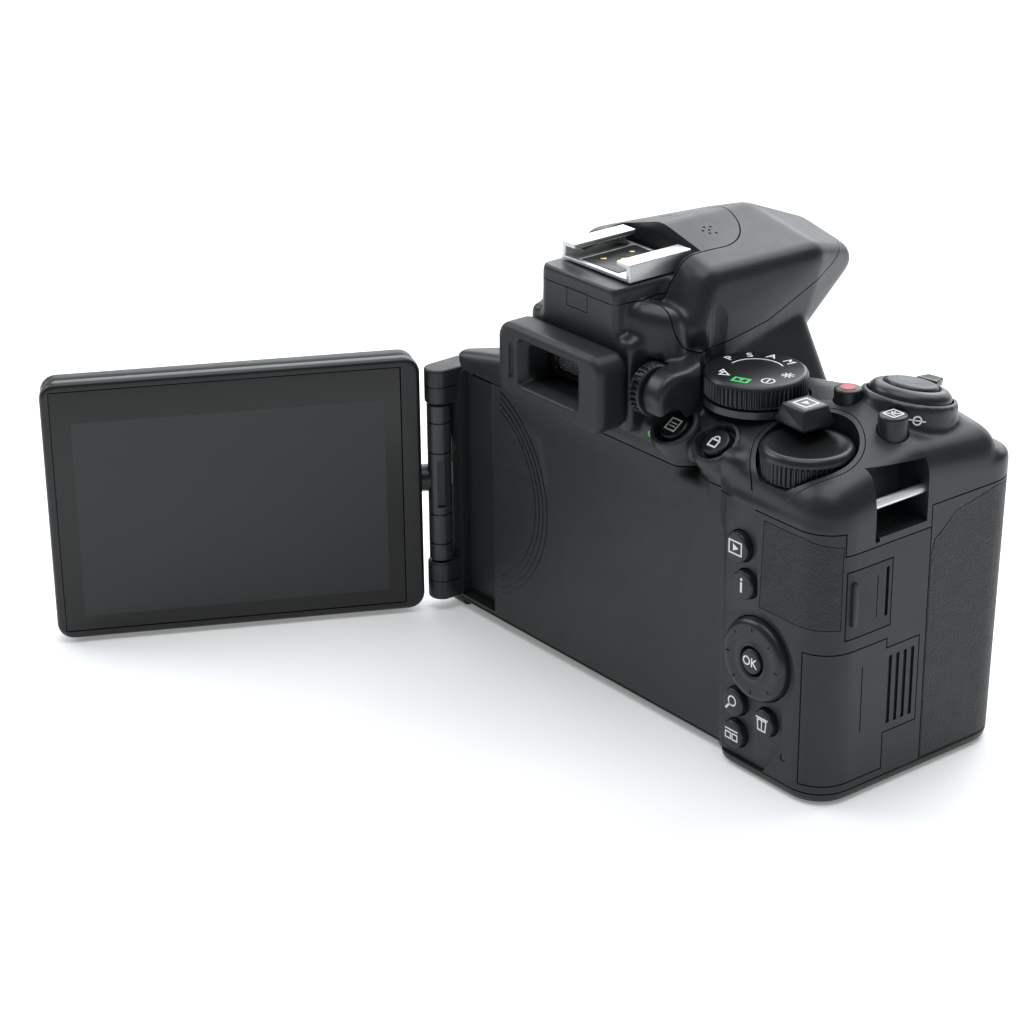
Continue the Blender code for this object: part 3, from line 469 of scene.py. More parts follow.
def body_chunks():
    yield slab([(51.3, 7.5, 4), (51.3, -16, 4), (-58, -16, 4), (-58, 7.5, 4)], 0, 56, 1.5)
    yield slab([(-60, 6.6, 7.5), (-60, -14, 7.5), (-42, -14, 4), (-42, 9.6, 4.5)], 0, 59, 1.5)
    yield slab([(-60, -31.2, 7.5, 1.6), (-49.5, -34.2, 4.5, 1.6), (-44, -16, 4), (-60, -8, 7.5)], 0, 62, 1.5)
    yield pebble([(49.7, 6.2, 50.5, 5.8), (49.7, -14, 50.5, 5.8), (26, 7, 62, 5), (24, -14, 63, 5),
                  (49.7, 6.2, 40, 5.8), (49.7, -14, 40, 5.8), (20, 7, 40, 5), (20, -14, 40, 5)])
    yield pebble([(45, 11, 59.2, 2.6), (-40, 11, 63, 2.8), (20, 11, 64.2, 2.8), (45, 4, 57.5, 2.6),
                  (-40, 4, 63, 2.8), (20, 4, 65, 2.8)])
    yield pebble([(-61.3, -12, 63, 6.2), (-50, -12, 67.9, 5.5), (-52, -22, 66, 6.0), (-60, -28, 60.5, 7.5),
                  (-50, -31, 62, 6.0), (-26, -16, 65, 5), (-24, 5, 64.8, 4.8), (-40, 8.6, 61.2, 4.6),
                  (-60.2, 6.4, 58.5, 7.3), (-60, -28, 50, 7.5), (-60.2, 6.4, 50, 7.3), (-20, -12, 47, 5),
                  (-40, 8.6, 50, 4.6), (-49.6, -34.2, 56, 4.5)])
    yield pebble(mirrored([(20, 7.6, 61, 5), (20, -28, 57, 5), (20, 6.4, 47, 5), (20, -27, 47, 5),
                           (16.2, 5.2, 75, 4), (14.6, -25.2, 75, 4)]))
    yield pebble(mirrored([(15.0, -1.5, 89.4, 4.5), (16.6, 3.4, 82.5, 4), (12.5, -27, 76, 4),
                           (9, -42.6, 84.6, 3.8), (14, -30, 88.6, 4), (8.5, -38.5, 81, 4),
                           (16.0, -2, 75.6, 4)]) + [(0, -46, 84.2, 3.8), (0, -14, 92.3, 5.6),
                                                    (0, -26, 91.9, 5.6), (0, -40, 87.4, 4.6),
                                                    (0, -2, 92.3, 5.6)])
    yield hull([(r * math.cos(a), y, LENS_Z + r * math.sin(a))
                for y, r in ((-14, 30.4), (BOSS_Y + 0.9, 29.6), (BOSS_Y, 28.9))
                for a in (2 * math.pi * i / 96 for i in range(96))])
    yield pebble(mirrored([(13, 11.6, 79, 3.5), (16.8, 8.8, 79, 3.5), (13, 11.6, 85, 3.2),
                           (16.6, 9.0, 84.3, 3.2), (13, 2, 79, 3.5)]))
    yield block((-11.5, -6, 76), (11.5, 18, 91.6), 0.8)
    yield block((-15.6, 2, 62.4), (15.6, 17.8, 82), 1.5)
    yield hull([(x, DIOPTER.y + 5.0 * math.cos(a), DIOPTER.z + 5.0 * math.sin(a))
                for x in (-21.2, -26.4) for a in (2 * math.pi * i / 48 for i in range(48))]
               + [(x, 3, z) for x in (-16, -23) for z in (66, 78)])
    yield rod(RELEASE, tilted_axis(RELEASE_TILT), 9.6, -14, 0.2)


def tilted_axis(degrees):
    return (0.0, -math.sin(math.radians(degrees)), math.cos(math.radians(degrees)))


def body_pits(grow=0.0):
    """What is sunk into the outside."""
    yield block((-11.7 - grow, -3.8 - grow, 91.3 - grow), (11.7 + grow, 40, 120))
    yield rod((MODE.x, MODE.y, 0), (0, 0, 1), 10.9 + grow, 69.6 - grow, 90)
    yield rod((COMMAND.x, COMMAND.y, 0), (0, 0, 1), 9.7 + grow, COMMAND.z - 0.3 - grow, 90)
    yield rod(RELEASE, tilted_axis(RELEASE_TILT), 8.5 + grow, -0.8 - grow, 20)
    yield block((-51.4 - grow, -5.0 - grow, 69.6 - grow), (-40 + grow, 3.6 + grow, 80))
    yield rod(DIOPTER, (-1, 0, 0), 5.7 + grow, -1.7 - grow, 3.0 + grow)
    yield block((-80, -12 - grow, 54 - grow), (-59.6 + grow, 0.6 + grow, 66.6 + grow))
    yield block((-36.8 - grow, 6 - grow, -5), (47.6 + grow, 40, 1.9 + grow))
    yield block((-36.8 - grow, BAY_FLOOR + 0.15 - grow, 33), (49.0 + grow, 40, BAY_TOP + grow))
    yield block((49.5 - grow, -12 - grow, 42 - grow), (80, 0.6 + grow, 70))


class Body:
    """The smooth outside of the camera, and the same shape at given depths below it."""

    def __init__(self):
        self.skin = smoothed(voxels(merged(list(body_chunks())), 0.5), 22)
        self.depths = {}

    def solid(self, depth=0.0):
        if depth not in self.depths:
            shape = copy_of(self.skin)
            if depth:
                modifier = shape.modifiers.new("sink", "DISPLACE")
                modifier.mid_level = 0
                modifier.strength = -depth
                shape = voxels(replace_mesh(shape), 0.7)
            self.depths[depth] = cut(shape, *body_pits(depth))
        return copy_of(self.depths[depth])

    def layer(self, region, depth, lift=0.0):
        """The body within a region, down to a depth."""
        return cut(common(self.solid(lift), region), self.solid(depth))

    def recess(self, region, depth):
        return cut(region, self.solid(depth))

    def clear(self):
        for obj in [self.skin] + list(self.depths.values()):
            bpy.data.objects.remove(obj, do_unlink=True)


def holes():
    gap = 0.25
    for node in REAR_BUTTONS:
        low, high = corner_box(node)
        centre = middle(node)
        yield rod((centre.x, 0, centre.z), (0, 1, 0), (high.x - low.x) / 2 + gap, 5, 30)
    yield rod((SELECTOR.x, 0, SELECTOR.z), (0, 1, 0), 8.6 + gap, 5, 30)
    for node in ("movie_button", "exposure_button"):
        low, high = corner_box(node)
        centre = middle(node)
        yield rod((centre.x, centre.y, 0), (0, 0, 1), (high.x - low.x) / 2 + gap, low.z - 1, high.z + 5)
    for node in CUP_BUTTONS:
        yield rod(cup_centre(node), tilted_axis(-CUP_TILT), CUP_BUTTON_R + gap, -CUP_BORE, 6)
    yield rod(RELEASE, tilted_axis(RELEASE_TILT), 3.3, -17, 6)
    yield rod((MODE.x, MODE.y, 0), (0, 0, 1), 3.3, 60, 75)
    yield rod((COMMAND.x, COMMAND.y, 0), (0, 0, 1), 2.3, 54, 70)
    yield block((-8.7, 0, 68.4), (8.7, 30, 76.8))
    yield rod((0, 0, LENS_Z), (0, -1, 0), 27, 30, 60)
    yield rod((0, -14, 0), (0, 0, 1), 5.2, -5, 12)


def cup_centre(node):
    """The middle of a rear deck button's cap."""
    low, high = corner_box(node)
    axis = Vector(tilted_axis(-CUP_TILT))
    return middle(node) + axis * ((high.z - low.z) / 2 - 3.0 * math.sin(math.radians(CUP_TILT))) / axis.z


def top_region(shrink=0.0):
    return join(block((-90, -90, TOP_SEAM_Z + shrink), (90, 60, 140)),
                block((-90, SIDE_SEAM_Y + shrink, SIDE_TOP_SEAM_Z + shrink),
                      (-61.5 - shrink, 8.7 - shrink, 70)))


def flash_region(grow=0.0):
    y, z = FLASH_Y, FLASH_Z
    outline = [(-60, 89.6 - grow), (-42, 88.6 - grow), (-16.1, 79.9 - grow),
               (y - 3, z - EAR_R + 0.2 - grow), (y, z - 2), (y + EAR_R - 2.2 + grow, z + 6),
               (y + 2.2 + grow, 97), (y + 1 + grow, 110), (-60, 110)]
    region = join(extruded(outline, -40, 40), rod((0, y, z), (1, 0, 0), EAR_R + grow, -40, 40, turns=128))
    outline = [((12.2 - grow) * math.cos(a), -9 - (11.6 - grow) * math.sin(a))
               for a in (math.pi * i / 40 for i in range(41))]
    centre = extruded(outline + [(-12.2 + grow, 40), (12.2 - grow, 40)], 60, 120, "z")
    return cut(region, centre)


def grip_region(grow=0.0):
    outline = [(-60, 2.6 - grow), (SIDE_SEAM_Y - 0.4 + grow, 2.6 - grow),
               (SIDE_SEAM_Y - 0.4 + grow, 47 + grow), (SIDE_SEAM_Y - 1.2 + grow, 49.6 + grow),
               (SIDE_SEAM_Y - 3.4 + grow, 51.2 + grow), (-20, 54 + grow), (-31, 56.2 + grow),
               (-60, 56.4 + grow)]
    return common(extruded(outline, -90, -41.5 + grow),
                  block((-90, -60, 0), (-41.5 + grow, 20, 56.4 + grow)))


def thumb_region(grow=0.0):
    return hull([(x, y, z) for y in (9.2 - grow, 30)
                 for x, z in ((-50.5 + grow, 55.6 + grow), (-49.8 + grow, 37.2 - grow), (-80, 37.2 - grow),
                              (-80, 51.8 + grow), (-61, 55.6 + grow))])


def card_region(grow=0.0):
    return join(block((-90, -2.6 - grow, 4.2 - grow), (-61.8 + grow, 30, 32 + grow)),
                block((-90, -11.5 - grow, 12 - grow), (-62 + grow, 0, 30 + grow)))


def hdmi_region(grow=0.0):
    return block((-90, -3.2 - grow, 35 - grow), (-62 + grow, 8.2 + grow, 48.8 + grow))


def connector_region(grow=0.0):
    return block((50 - grow, -15.4 - grow, 5 - grow), (90, -4 + grow, 40 + grow))


def battery_region(grow=0.0):
    return slab([(-62.5, -32.5, 2 + grow), (-47, -32.5, 2 + grow), (-47, -6, 2 + grow),
                 (-62.5, -6, 2 + grow)], -4, 6, 0.3)


def build_shell(body):
    solid = body.solid()
    shell = cut(copy_of(solid), body.solid(WALL), *holes())
    flash = common(copy_of(shell), flash_region())
    shell = cut(shell, flash_region(SEAM))
    bottom = common(copy_of(solid), block((-90, -60, -5), (90, 60, BASE_Z)))
    bottom = cut(bottom, rod((0, -14, 0), (0, 0, 1), 5.2, -5, 12), battery_region(SEAM))
    door = common(solid, block((-90, -60, -5), (90, 60, BASE_Z - 0.4)), battery_region())
    top = common(copy_of(shell), top_region())
    rest = cut(common(shell, block((-90, -60, BASE_Z + SEAM), (90, 60, 80))), top_region(-SEAM))
    rear_zone = merged([block((-90, REAR_SEAM_Y, 0), (90, 60, 80))])
    rear_zone = join(rear_zone, block((-90, SIDE_SEAM_Y, 0), (-50, 60, 80)))
    rear = common(copy_of(rest), rear_zone)
    front_zone = join(block((-50 + SEAM, -90, 0), (90, REAR_SEAM_Y - SEAM, 80)),
                      block((-90, -90, 0), (-40, SIDE_SEAM_Y - SEAM, 80)))
    front = common(rest, front_zone)
    build_front_cover(body, front)
    build_rear_cover(body, rear)
    build_top_cover(top)
    build_bottom_cover(bottom)
    build_battery_door(door)
    build_flash_head(body, flash)


def build_front_cover(body, front):
    wells = [(middle(node), size) for node, size in
             (("lens_release_button", 4.6), ("flash_button", 3.25), ("function_button", 3.05))]
    front = cut(front, body.recess(grip_region(), 1.3), connector_region(SEAM),
                *[rod((c.x, 0, c.z), (0, -1, 0), size, 10, 60) for c, size in wells],
                rod((-31, 0, 52), (0, -1, 0), 3.3, 10, 60),
                tube((0, 0, LENS_Z), (0, -1, 0), 30.1, 30.4, 20, 60))
    finish(front, "front_shell", BODY, PLASTIC, "front_cover")


def hinge_knuckle(low, high):
    x, y = HINGE.x, HINGE.y
    knuckle = slab([(x, y, 3.0), (x - 1.4, BAY_FLOOR - 6, 1.8), (x + 1.4, BAY_FLOOR - 6, 1.8)], low, high,
                   0.6)
    ring = tube((x, y, 0), (0, 0, 1), 2.75, 4, (low + high) / 2 - 0.12, (low + high) / 2 + 0.12)
    return cut(knuckle, ring)


def bay_relief():
    """Shallow rings pressed into the bay floor beside the hinge."""
    centre = (43.3, 0, 32.3)
    rings = [tube(centre, (0, 1, 0), radius, radius + 0.28, BAY_FLOOR - 0.12, 20, turns=160)
             for radius in (21.6, 22.9, 24.2, 25.5)]
    return [common(ring, block((10, 0, 4), (33.2, 20, 56.5))) for ring in rings]


def panel_step():
    """The button panel lies a little below the thumb rest, with a round bay for the selector."""
    upper = [(-36, 30, 1), (-36, 56.2, 2), (-44.2, 56.2, 3.5), (-45.9, 50, 3), (-46.5, 36, 3),
             (-46.5, 30, 3)]
    lower = [(-36, 3.6, 1), (-36, 30, 1), (-53.6, 30, 3.5), (-54.2, 10.5, 3), (-50, 4.6, 3)]
    depths = PANEL_Y - PANEL_STEP, PANEL_Y + 9
    return [standing(upper, *depths, 0.0, arc=1), standing(lower, *depths, 0.0, arc=1),
            standing([(SELECTOR.x, SELECTOR.z, 11.0)], *depths, 0.0, turns=96, arc=1)]


def build_rear_cover(body, rear):
    arm_low, arm_high = corner_box("hinge_arm")[0].z, corner_box("hinge_arm")[1].z
    rear = join(rear, hinge_knuckle(BASE_Z + SEAM, arm_low - 0.3),
                hinge_knuckle(arm_high + 0.3, TOP_SEAM_Z - 0.3),
                block((33.5, 6.2, 4), (49.5, BAY_FLOOR - 1, 55)))
    neck_room = block((50.6, 9.4, TILT_Z - 3.6), (60, 30, TILT_Z + 3.6))
    rear = cut(rear, block((36, 9.2, 3.2), (47.4, 30, 59)), neck_room, card_region(SEAM), hdmi_region(SEAM),
               body.recess(thumb_region(), 1.3), *bay_relief(), *panel_step())
    rear = cut(rear, rod((-57.7, 0, 7.9), (0, 1, 0), 0.8, PANEL_Y - 0.4, 20))
    finish(rear, "rear_shell", BODY, BAY, "rear_cover")
    lens = turned([(0, 0), (0.75, 0), (0.75, 0.3), (0.4, 0.42), (0, 0.45)], (-57.7, PANEL_Y - 0.5, 7.9),
                  (0, 1, 0), 32)
    finish(lens, "access_lamp_lens", BODY, GLOSSY, slot="lens")


def build_top_cover(top):
    axis = tilted_axis(-CUP_TILT)
    collars, cups = [], []
    for node in CUP_BUTTONS:
        centre = cup_centre(node)
        collar = turned([(0, -6.5), (5.4, -6.5), (5.4, -0.8), (5.2, -0.3), (4.8, 0.0), (0, 0.0)], centre,
                        axis)
        below_deck = block((-60, -12, 40), (0, 40, TOP_SEAM_Z + 1.0))
        monitor_bay = block((-36.8, BAY_FLOOR + 0.15, 33), (49.0, 40, BAY_TOP))
        collars.append(cut(collar, below_deck, monitor_bay))
        cups.append(turned([(0, -1.7), (3.7, -1.7), (4.5, 0.6), (0, 0.6)], centre, axis))
        cups.append(rod(centre, axis, 3.25, -CUP_BORE, 6))
    top = join(top, *collars)
    holes_for_sound = [rod((x * side, y, 0), (0, 0, 1), 0.3, 94, 99, turns=16) for side in (-1, 1)
                       for x, y in ((6.0, -9.4), (7.2, -10.2), (6.2, -10.9), (7.5, -11.6), (5.0, -10.6),
                                    (5.3, -12.0))]
    well_rim = [tube((COMMAND.x, COMMAND.y, 0), (0, 0, 1), 10.6, 10.8, 60, 90)]
    top = cut(top, *cups, *holes_for_sound, *well_rim, strap_chamfer(), shoe_block_seam())
    latch = cut(block((-3.2, 17.6, 84.6), (3.2, 19, 88.6)), block((-3.0, 17, 84.8), (3.0, 20, 88.4)))
    top = cut(top, latch)
    TOP["shell"] = finish(top, "top_shell", BODY, HUMP, "top_cover")


def strap_chamfer():
    return hull([(x, y, z) for z in (53.2, 67.4) for x, y in ((-64.4, 0.5), (-72, 0.5), (-72, 3.4))])


def shoe_block_seam():
    """The joint that runs round the block under the accessory shoe."""
    return cut(block((-14, 3.5, 88.2), (14, 22, 88.45)), block((-11.25, 3, 88), (11.25, 17.75, 89)))


def build_bottom_cover(bottom):
    plate = cut(block((8, -20, -1), (36, -2, 0.15)), block((8.3, -19.7, -2), (35.7, -2.3, 1)))
    pads = [rod((x, y, 0), (0, 0, 1), 1.9, -1, 0.5, turns=40)
            for x, y in ((-38, -20), (48, -12), (-20, 2), (30, 2))]
    bottom = cut(bottom, plate, *pads)
    finish(bottom, "bottom_shell", BODY, PLASTIC, "bottom_cover")
    for number, (x, y) in enumerate(((-38, -20), (48, -12), (-20, 2), (30, 2))):
        screw = rod((x, y, 0.9), (0, 0, -1), 1.6, -0.6, 0.5, edge=0.3)
        cross = [block((x - a, y - b, -1), (x + a, y + b, 0.75)) for a, b in ((1.0, 0.18), (0.18, 1.0))]
        finish(cut(screw, *cross), f"base_screw_{number}", BODY, STEEL, slot="steel")


def build_battery_door(door):
    latch = cut(block((-57.5, -31, -1), (-52.5, -27.5, 0.4)), block((-57.2, -30.7, -2), (-52.8, -27.8, 1)))
    finish(cut(door, latch), "battery_door_shell", "battery_door", PLASTIC, "battery_door")


def build_flash_head(body, flash):
    lamp = block((-10.5, -38.5, 81.6), (10.5, -25, 88.6), 0.8)
    post = common(block((-9, -36, 87), (9, -27, 94)), body.solid(1.0))
    flash = cut(join(flash, lamp, post), block((-9.3, -45, 82.6), (9.3, -36.6, 87.8)))
    finish(flash, "flash_head_shell", "flash", HUMP, "flash_head")
    window = block((-9, -38.2, 82.9), (9, -36.9, 87.5), 0.25)
    finish(window, "flash_diffuser", "flash", DIFFUSER, "flash_window")


def build_rubbers(body):
    finish(body.layer(grip_region(-0.15), 1.0), "grip_skin", BODY, LEATHER, "grip_rubber")
    finish(body.layer(thumb_region(-0.15), 1.0), "thumb_skin", BODY, LEATHER, "thumb_rubber")


def build_side_doors(body):
    door = body.layer(card_region(), 1.8)
    ribs = [block((-70, -10.4 + 2.0 * i, 13.6), (-67.05, -9.5 + 2.0 * i, 28.2)) for i in range(4)]
    pull = block((-70, 3.4, 14), (-67.2, 3.65, 28))
    finish(cut(door, *ribs, pull), "card_door_shell", "card_door", PLASTIC, "card_door")
    cover = join(body.layer(hdmi_region(), 1.8), block((-68.2, 6.0, 37.5), (-66.8, 7.2, 46.5), 0.3))
    cover = cut(cover, block((-70, 0.4, 37.6), (-67.15, 0.6, 46.4)),
                block((-70, -2.5, 37.2), (-66.6, -1.7, 47.4)))
    finish(cover, "hdmi_cover_skin", "hdmi_cover", SOFT, "hdmi_cover")
    cover = join(body.layer(connector_region(), 1.8), block((54.6, -7.0, 14), (56.0, -5.8, 31), 0.3))
    cover = cut(cover, *[block((55.1, -13.5, z), (60, -8.5, z + 0.25)) for z in (12.5, 22.5, 32.5)])
    finish(cover, "connector_cover_skin", "connector_cover", SOFT, "connector_cover")


# Controls --------------------------------------------------------------------------------------

def button(node, axis, radius, depth, centre):
    """A round button whose cap has a soft edge and a slight crown."""
    profile = [(0, -depth), (radius, -depth), (radius, -CAP_EDGE)]
    profile += [(radius - CAP_EDGE + CAP_EDGE * math.cos(a), -CAP_EDGE + CAP_EDGE * math.sin(a))
                for a in (math.radians(15 * i) for i in range(1, 7))]
    profile += [(radius * 0.5, CAP_CROWN * 0.7), (0, CAP_CROWN)]
    finish(turned(profile, centre, axis, 64), node + "_cap", node, CONTROL, node)


def straight_button(node, axis):
    """A button as wide and as deep as its solid, its crown just inside the solid's outer face."""
    low, high = corner_box(node)
    depth = abs((high - low).dot(Vector(axis)))
    centre = middle(node) + Vector(axis) * (depth / 2 - CAP_CROWN)
    button(node, axis, (high.x - low.x) / 2, depth - CAP_CROWN, centre)


def build_buttons():
    for node in REAR_BUTTONS + ("ok_button",):
        straight_button(node, (0, 1, 0))
    for node in ("movie_button", "exposure_button"):
        straight_button(node, (0, 0, 1))
    for node in CUP_BUTTONS:
        button(node, tilted_axis(-CUP_TILT), CUP_BUTTON_R, CUP_BUTTON_DEPTH, cup_centre(node))
    for node in ("lens_release_button", "flash_button", "function_button"):
        straight_button(node, (0, -1, 0))


def build_selector():
    y = corner_box("multi_selector")[1].y
    ring = turned([(3.0, -3.2), (8.6, -3.2), (8.6, -1.1), (8.3, -0.6), (7.7, -0.15), (6.8, 0.0),
                   (5.6, -0.25), (4.4, -0.25), (3.7, 0.0), (3.2, -0.2), (3.0, -0.6)],
                  (SELECTOR.x, y, SELECTOR.z), (0, 1, 0), 128)
    marks = []
    for turn in range(8):
        angle = math.pi / 4 * turn
        centre = Vector((SELECTOR.x + 6.7 * math.cos(angle), y, SELECTOR.z + 6.7 * math.sin(angle)))
        mark = block((-0.16, -0.3, -0.5), (0.16, 0.3, 0.5))
        marks.append(moved(mark, Matrix.Translation(centre) @ Matrix.Rotation(math.pi / 2 - angle, 4, "Y")))
    finish(cut(ring, *marks), "selector_ring", "multi_selector", CONTROL, "multi_selector")


def build_release():
    axis = tilted_axis(RELEASE_TILT)
    ring = turned([(5.5, -0.5), (8.1, -0.5), (8.1, 0.6), (7.9, 1.0), (7.3, 1.6), (6.4, 1.95), (5.8, 2.0),
                   (5.5, 1.6)], RELEASE, axis, 128)
    lever = hull([p for x, y in ((-1.9, 7.4), (1.9, 7.4), (-1.4, 11.7), (1.4, 11.7)) for z in (0.8, 1.9)
                  for p in ball_points(x, y, z, 0.3, 12, 6)])
    ribs = [block((-3, 8.6 + 0.9 * i, 2.0), (3, 8.9 + 0.9 * i, 3.0)) for i in range(4)]
    lever = moved(cut(lever, *ribs), Matrix.Translation(RELEASE)
                  @ Matrix.Rotation(math.radians(RELEASE_TILT), 4, "X")
                  @ Matrix.Rotation(math.radians(200), 4, "Z"))
    finish(join(ring, lever), "power_ring", "power_switch", CONTROL, "power_switch")
    profile = [(0, -8), (2.8, -8), (2.8, 0.4), (5.2, 0.4), (5.2, 1.9), (5.1, 2.2), (4.8, 2.45), (4.4, 2.58),
               (3.4, 2.55), (1.8, 2.35), (0, 2.25)]
    finish(turned(profile, RELEASE, axis, 96), "release_cap", "shutter_button", HUMP, "shutter_button")


def build_dials():
    low, high = corner_box("mode_dial")[1].z - 4.8, corner_box("mode_dial")[1].z
    profile = [(0, 64), (2.2, 64), (2.2, low), (9.9, low), (10.25, low + 0.3), (10.25, low + 0.5, 0.38),
               (10.25, high - 0.95, 0.38), (10.2, high - 0.8), (10.0, high - 0.4), (9.6, high - 0.08),
               (9.2, high), (0, high)]
    finish(turned(profile, (MODE.x, MODE.y, 0), teeth=66), "mode_dial_cap", "mode_dial", CONTROL,
           "mode_dial")
    low, high = COMMAND.z, corner_box("command_dial")[1].z
    profile = [(0, 57), (2.0, 57), (2.0, low), (8.7, low), (8.9, low + 0.3), (8.9, low + 0.5, 0.4),
               (8.9, high - 2.3, 0.4), (9.1, high - 1.7), (9.1, high - 1.2), (8.9, high - 0.6),
               (8.5, high - 0.15), (8.0, high), (7.4, high - 0.15), (5.5, high - 0.85), (3.0, high - 1.3),
               (0, high - 1.4)]
    finish(turned(profile, (COMMAND.x, COMMAND.y, 0), teeth=54), "command_dial_cap", "command_dial", CONTROL,
           "command_dial")


def build_lever():
    x, y = MODE.x, MODE.y
    ring = tube((x, y, 0), (0, 0, 1), 2.6, 10.4, 69.9, 71.3)
    arm = block((-17, -3.2, 69.9), (-9, 3.2, 71.3))
    tab = hull([p for x, y, z in ((-18.6, -3.3, 70.5), (-18.6, 3.3, 70.5), (-11.0, -3.3, 70.5),
                                  (-11.0, 3.3, 70.5), (-17.8, -2.6, 73.5), (-17.8, 2.6, 73.5),
                                  (-12.2, -2.8, 73.5), (-12.2, 2.8, 73.5))
                for p in ball_points(x, y, z, 0.6, 16, 8)])
    plate = block((-17.9, -2.6, 73.9), (-12.4, 2.6, 74.3), 0.12)
    turn = Matrix.Translation((x, y, 0)) @ Matrix.Rotation(math.radians(-4), 4, "Z")
    for piece in (arm, tab, plate):
        moved(piece, turn)
    finish(join(ring, arm, tab), "live_view_lever_body", "live_view_lever", CONTROL, "live_view_lever")
    finish(moved(plate, Matrix.Translation((0, 0, -0.12))), "live_view_plate", "live_view_lever", GREY,
           slot="controls")


def build_diopter():
    profile = [(1.6, 0.0), (5.0, 0.0), (5.3, 0.3), (5.3, 0.5, 0.4), (5.3, 2.1, 0.4), (5.2, 2.3), (4.9, 2.6),
               (2.6, 2.6), (2.3, 2.3), (1.6, 2.3)]
    finish(turned(profile, DIOPTER, (-1, 0, 0), teeth=30), "diopter_wheel", "diopter_dial", CONTROL,
           "diopter_dial")


# Viewfinder and shoe ---------------------------------------------------------------------------

def build_eyecup():
    low, high = corner_box("eyecup")
    corner = 3.5
    cup = standing([(sx * (high.x - corner), z, corner) for sx in (-1, 1)
                for z in (low.z + corner, high.z - corner)], low.y, high.y, 1.6)
    funnel = standing([(sx * 7.0, z, 1.4) for sx in (-1, 1) for z in (70.1, 75.2)], 15, 28, 0.0, arc=1)
    flare = common(standing([(sx * 7.6, z, 2.0) for sx in (-1, 1) for z in (69.4, 75.9)], 20, 28, 0.0,
                            arc=1), hull([(x, y, z)
                                          for y, w, bottom, top in ((21.6, 7.4, 69.2, 76.0),
                                                                    (28, 11.0, 66.6, 78.6))
                                          for x in (-w, w) for z in (bottom, top)]))
    side = standing([(11.6, z, 0.7) for z in (69.0, 75.2)], 24.9, 28, 0.0, arc=1)
    cup = smoothed(voxels(cut(cup, funnel, flare, side), 0.3), 3)
    finish(cup, "eyecup_rubber", "eyecup", SOFT, "eyecup")
    rim = standing([(sx * 6.7, z, 1.2) for sx in (-1, 1) for z in (70.2, 75.0)], 15.2, 17.9, 0.3)
    rim = cut(rim, standing([(sx * 6.1, z, 1.0) for sx in (-1, 1) for z in (70.7, 74.5)], 10, 20, 0.0,
                            arc=1))
    finish(rim, "eyepiece_frame", BODY, GLOSSY, slot="controls")
    glass = standing([(sx * 5.9, z, 1.15) for sx in (-1, 1) for z in (70.9, 74.3)], 15.0, 17.0, 0.4)
    finish(glass, "eyepiece_glass", BODY, LENS, slot="lens")


def build_hot_shoe():
    rails = []
    for side in (-1, 1):
        wall = block((9.2, -2.6, 91.6), (10.4, 13.4, 95.3), 0.3)
        lip = block((6.3, -2.6, 94.2), (10.4, 13.4, 95.3), 0.3)
        floor = block((5.8, -2.6, 91.6), (10.4, 13.4, 92.3), 0.1)
        rail = join(wall, lip, floor)
        rails.append(moved(rail, Matrix.Scale(side, 4, (1, 0, 0))))
    bridge = block((-10.2, 12.4, 91.6), (10.2, 13.4, 92.3), 0.1)
    front = block((-10.2, -2.6, 91.6), (10.2, -1.8, 92.3), 0.1)
    finish(join(rails[0], rails[1], bridge, front), "shoe_rails", BODY, STEEL, "hot_shoe_rails")
    for number, side in enumerate((-1, 1)):
        leaf = [(-1.6, 92.4), (2.5, 93.5), (6.5, 94.1), (10.5, 93.4), (10.5, 93.25), (6.5, 93.95),
                (2.5, 93.35), (-1.6, 92.3)]
        spring = extruded(leaf, 6.9 if side > 0 else -8.9, 8.9 if side > 0 else -6.9)
        finish(spring, f"shoe_spring_{number}", BODY, CHROME, slot="steel")
    base = cut(block((-5.5, -1.5, 91.6), (5.5, 12.1, 92.3), 0.1),
               *[rod((x, y, 0), (0, 0, 1), r + 0.12, 92.1, 94) for x, y, r in shoe_contacts()])
    finish(base, "shoe_base", BODY, CONTROL, "hot_shoe_base")
    for number, (x, y, r) in enumerate(shoe_contacts()):
        finish(rod((x, y, 0), (0, 0, 1), r, 92.12, 92.36, edge=0.08), f"shoe_contact_{number}", BODY, GOLD,
               slot="gold")


def shoe_contacts():
    return ((0, 5.2, 1.3), (2.9, 1.4, 0.7), (-2.9, 1.4, 0.7), (3.2, 8.6, 0.75), (-3.2, 8.6, 0.75))
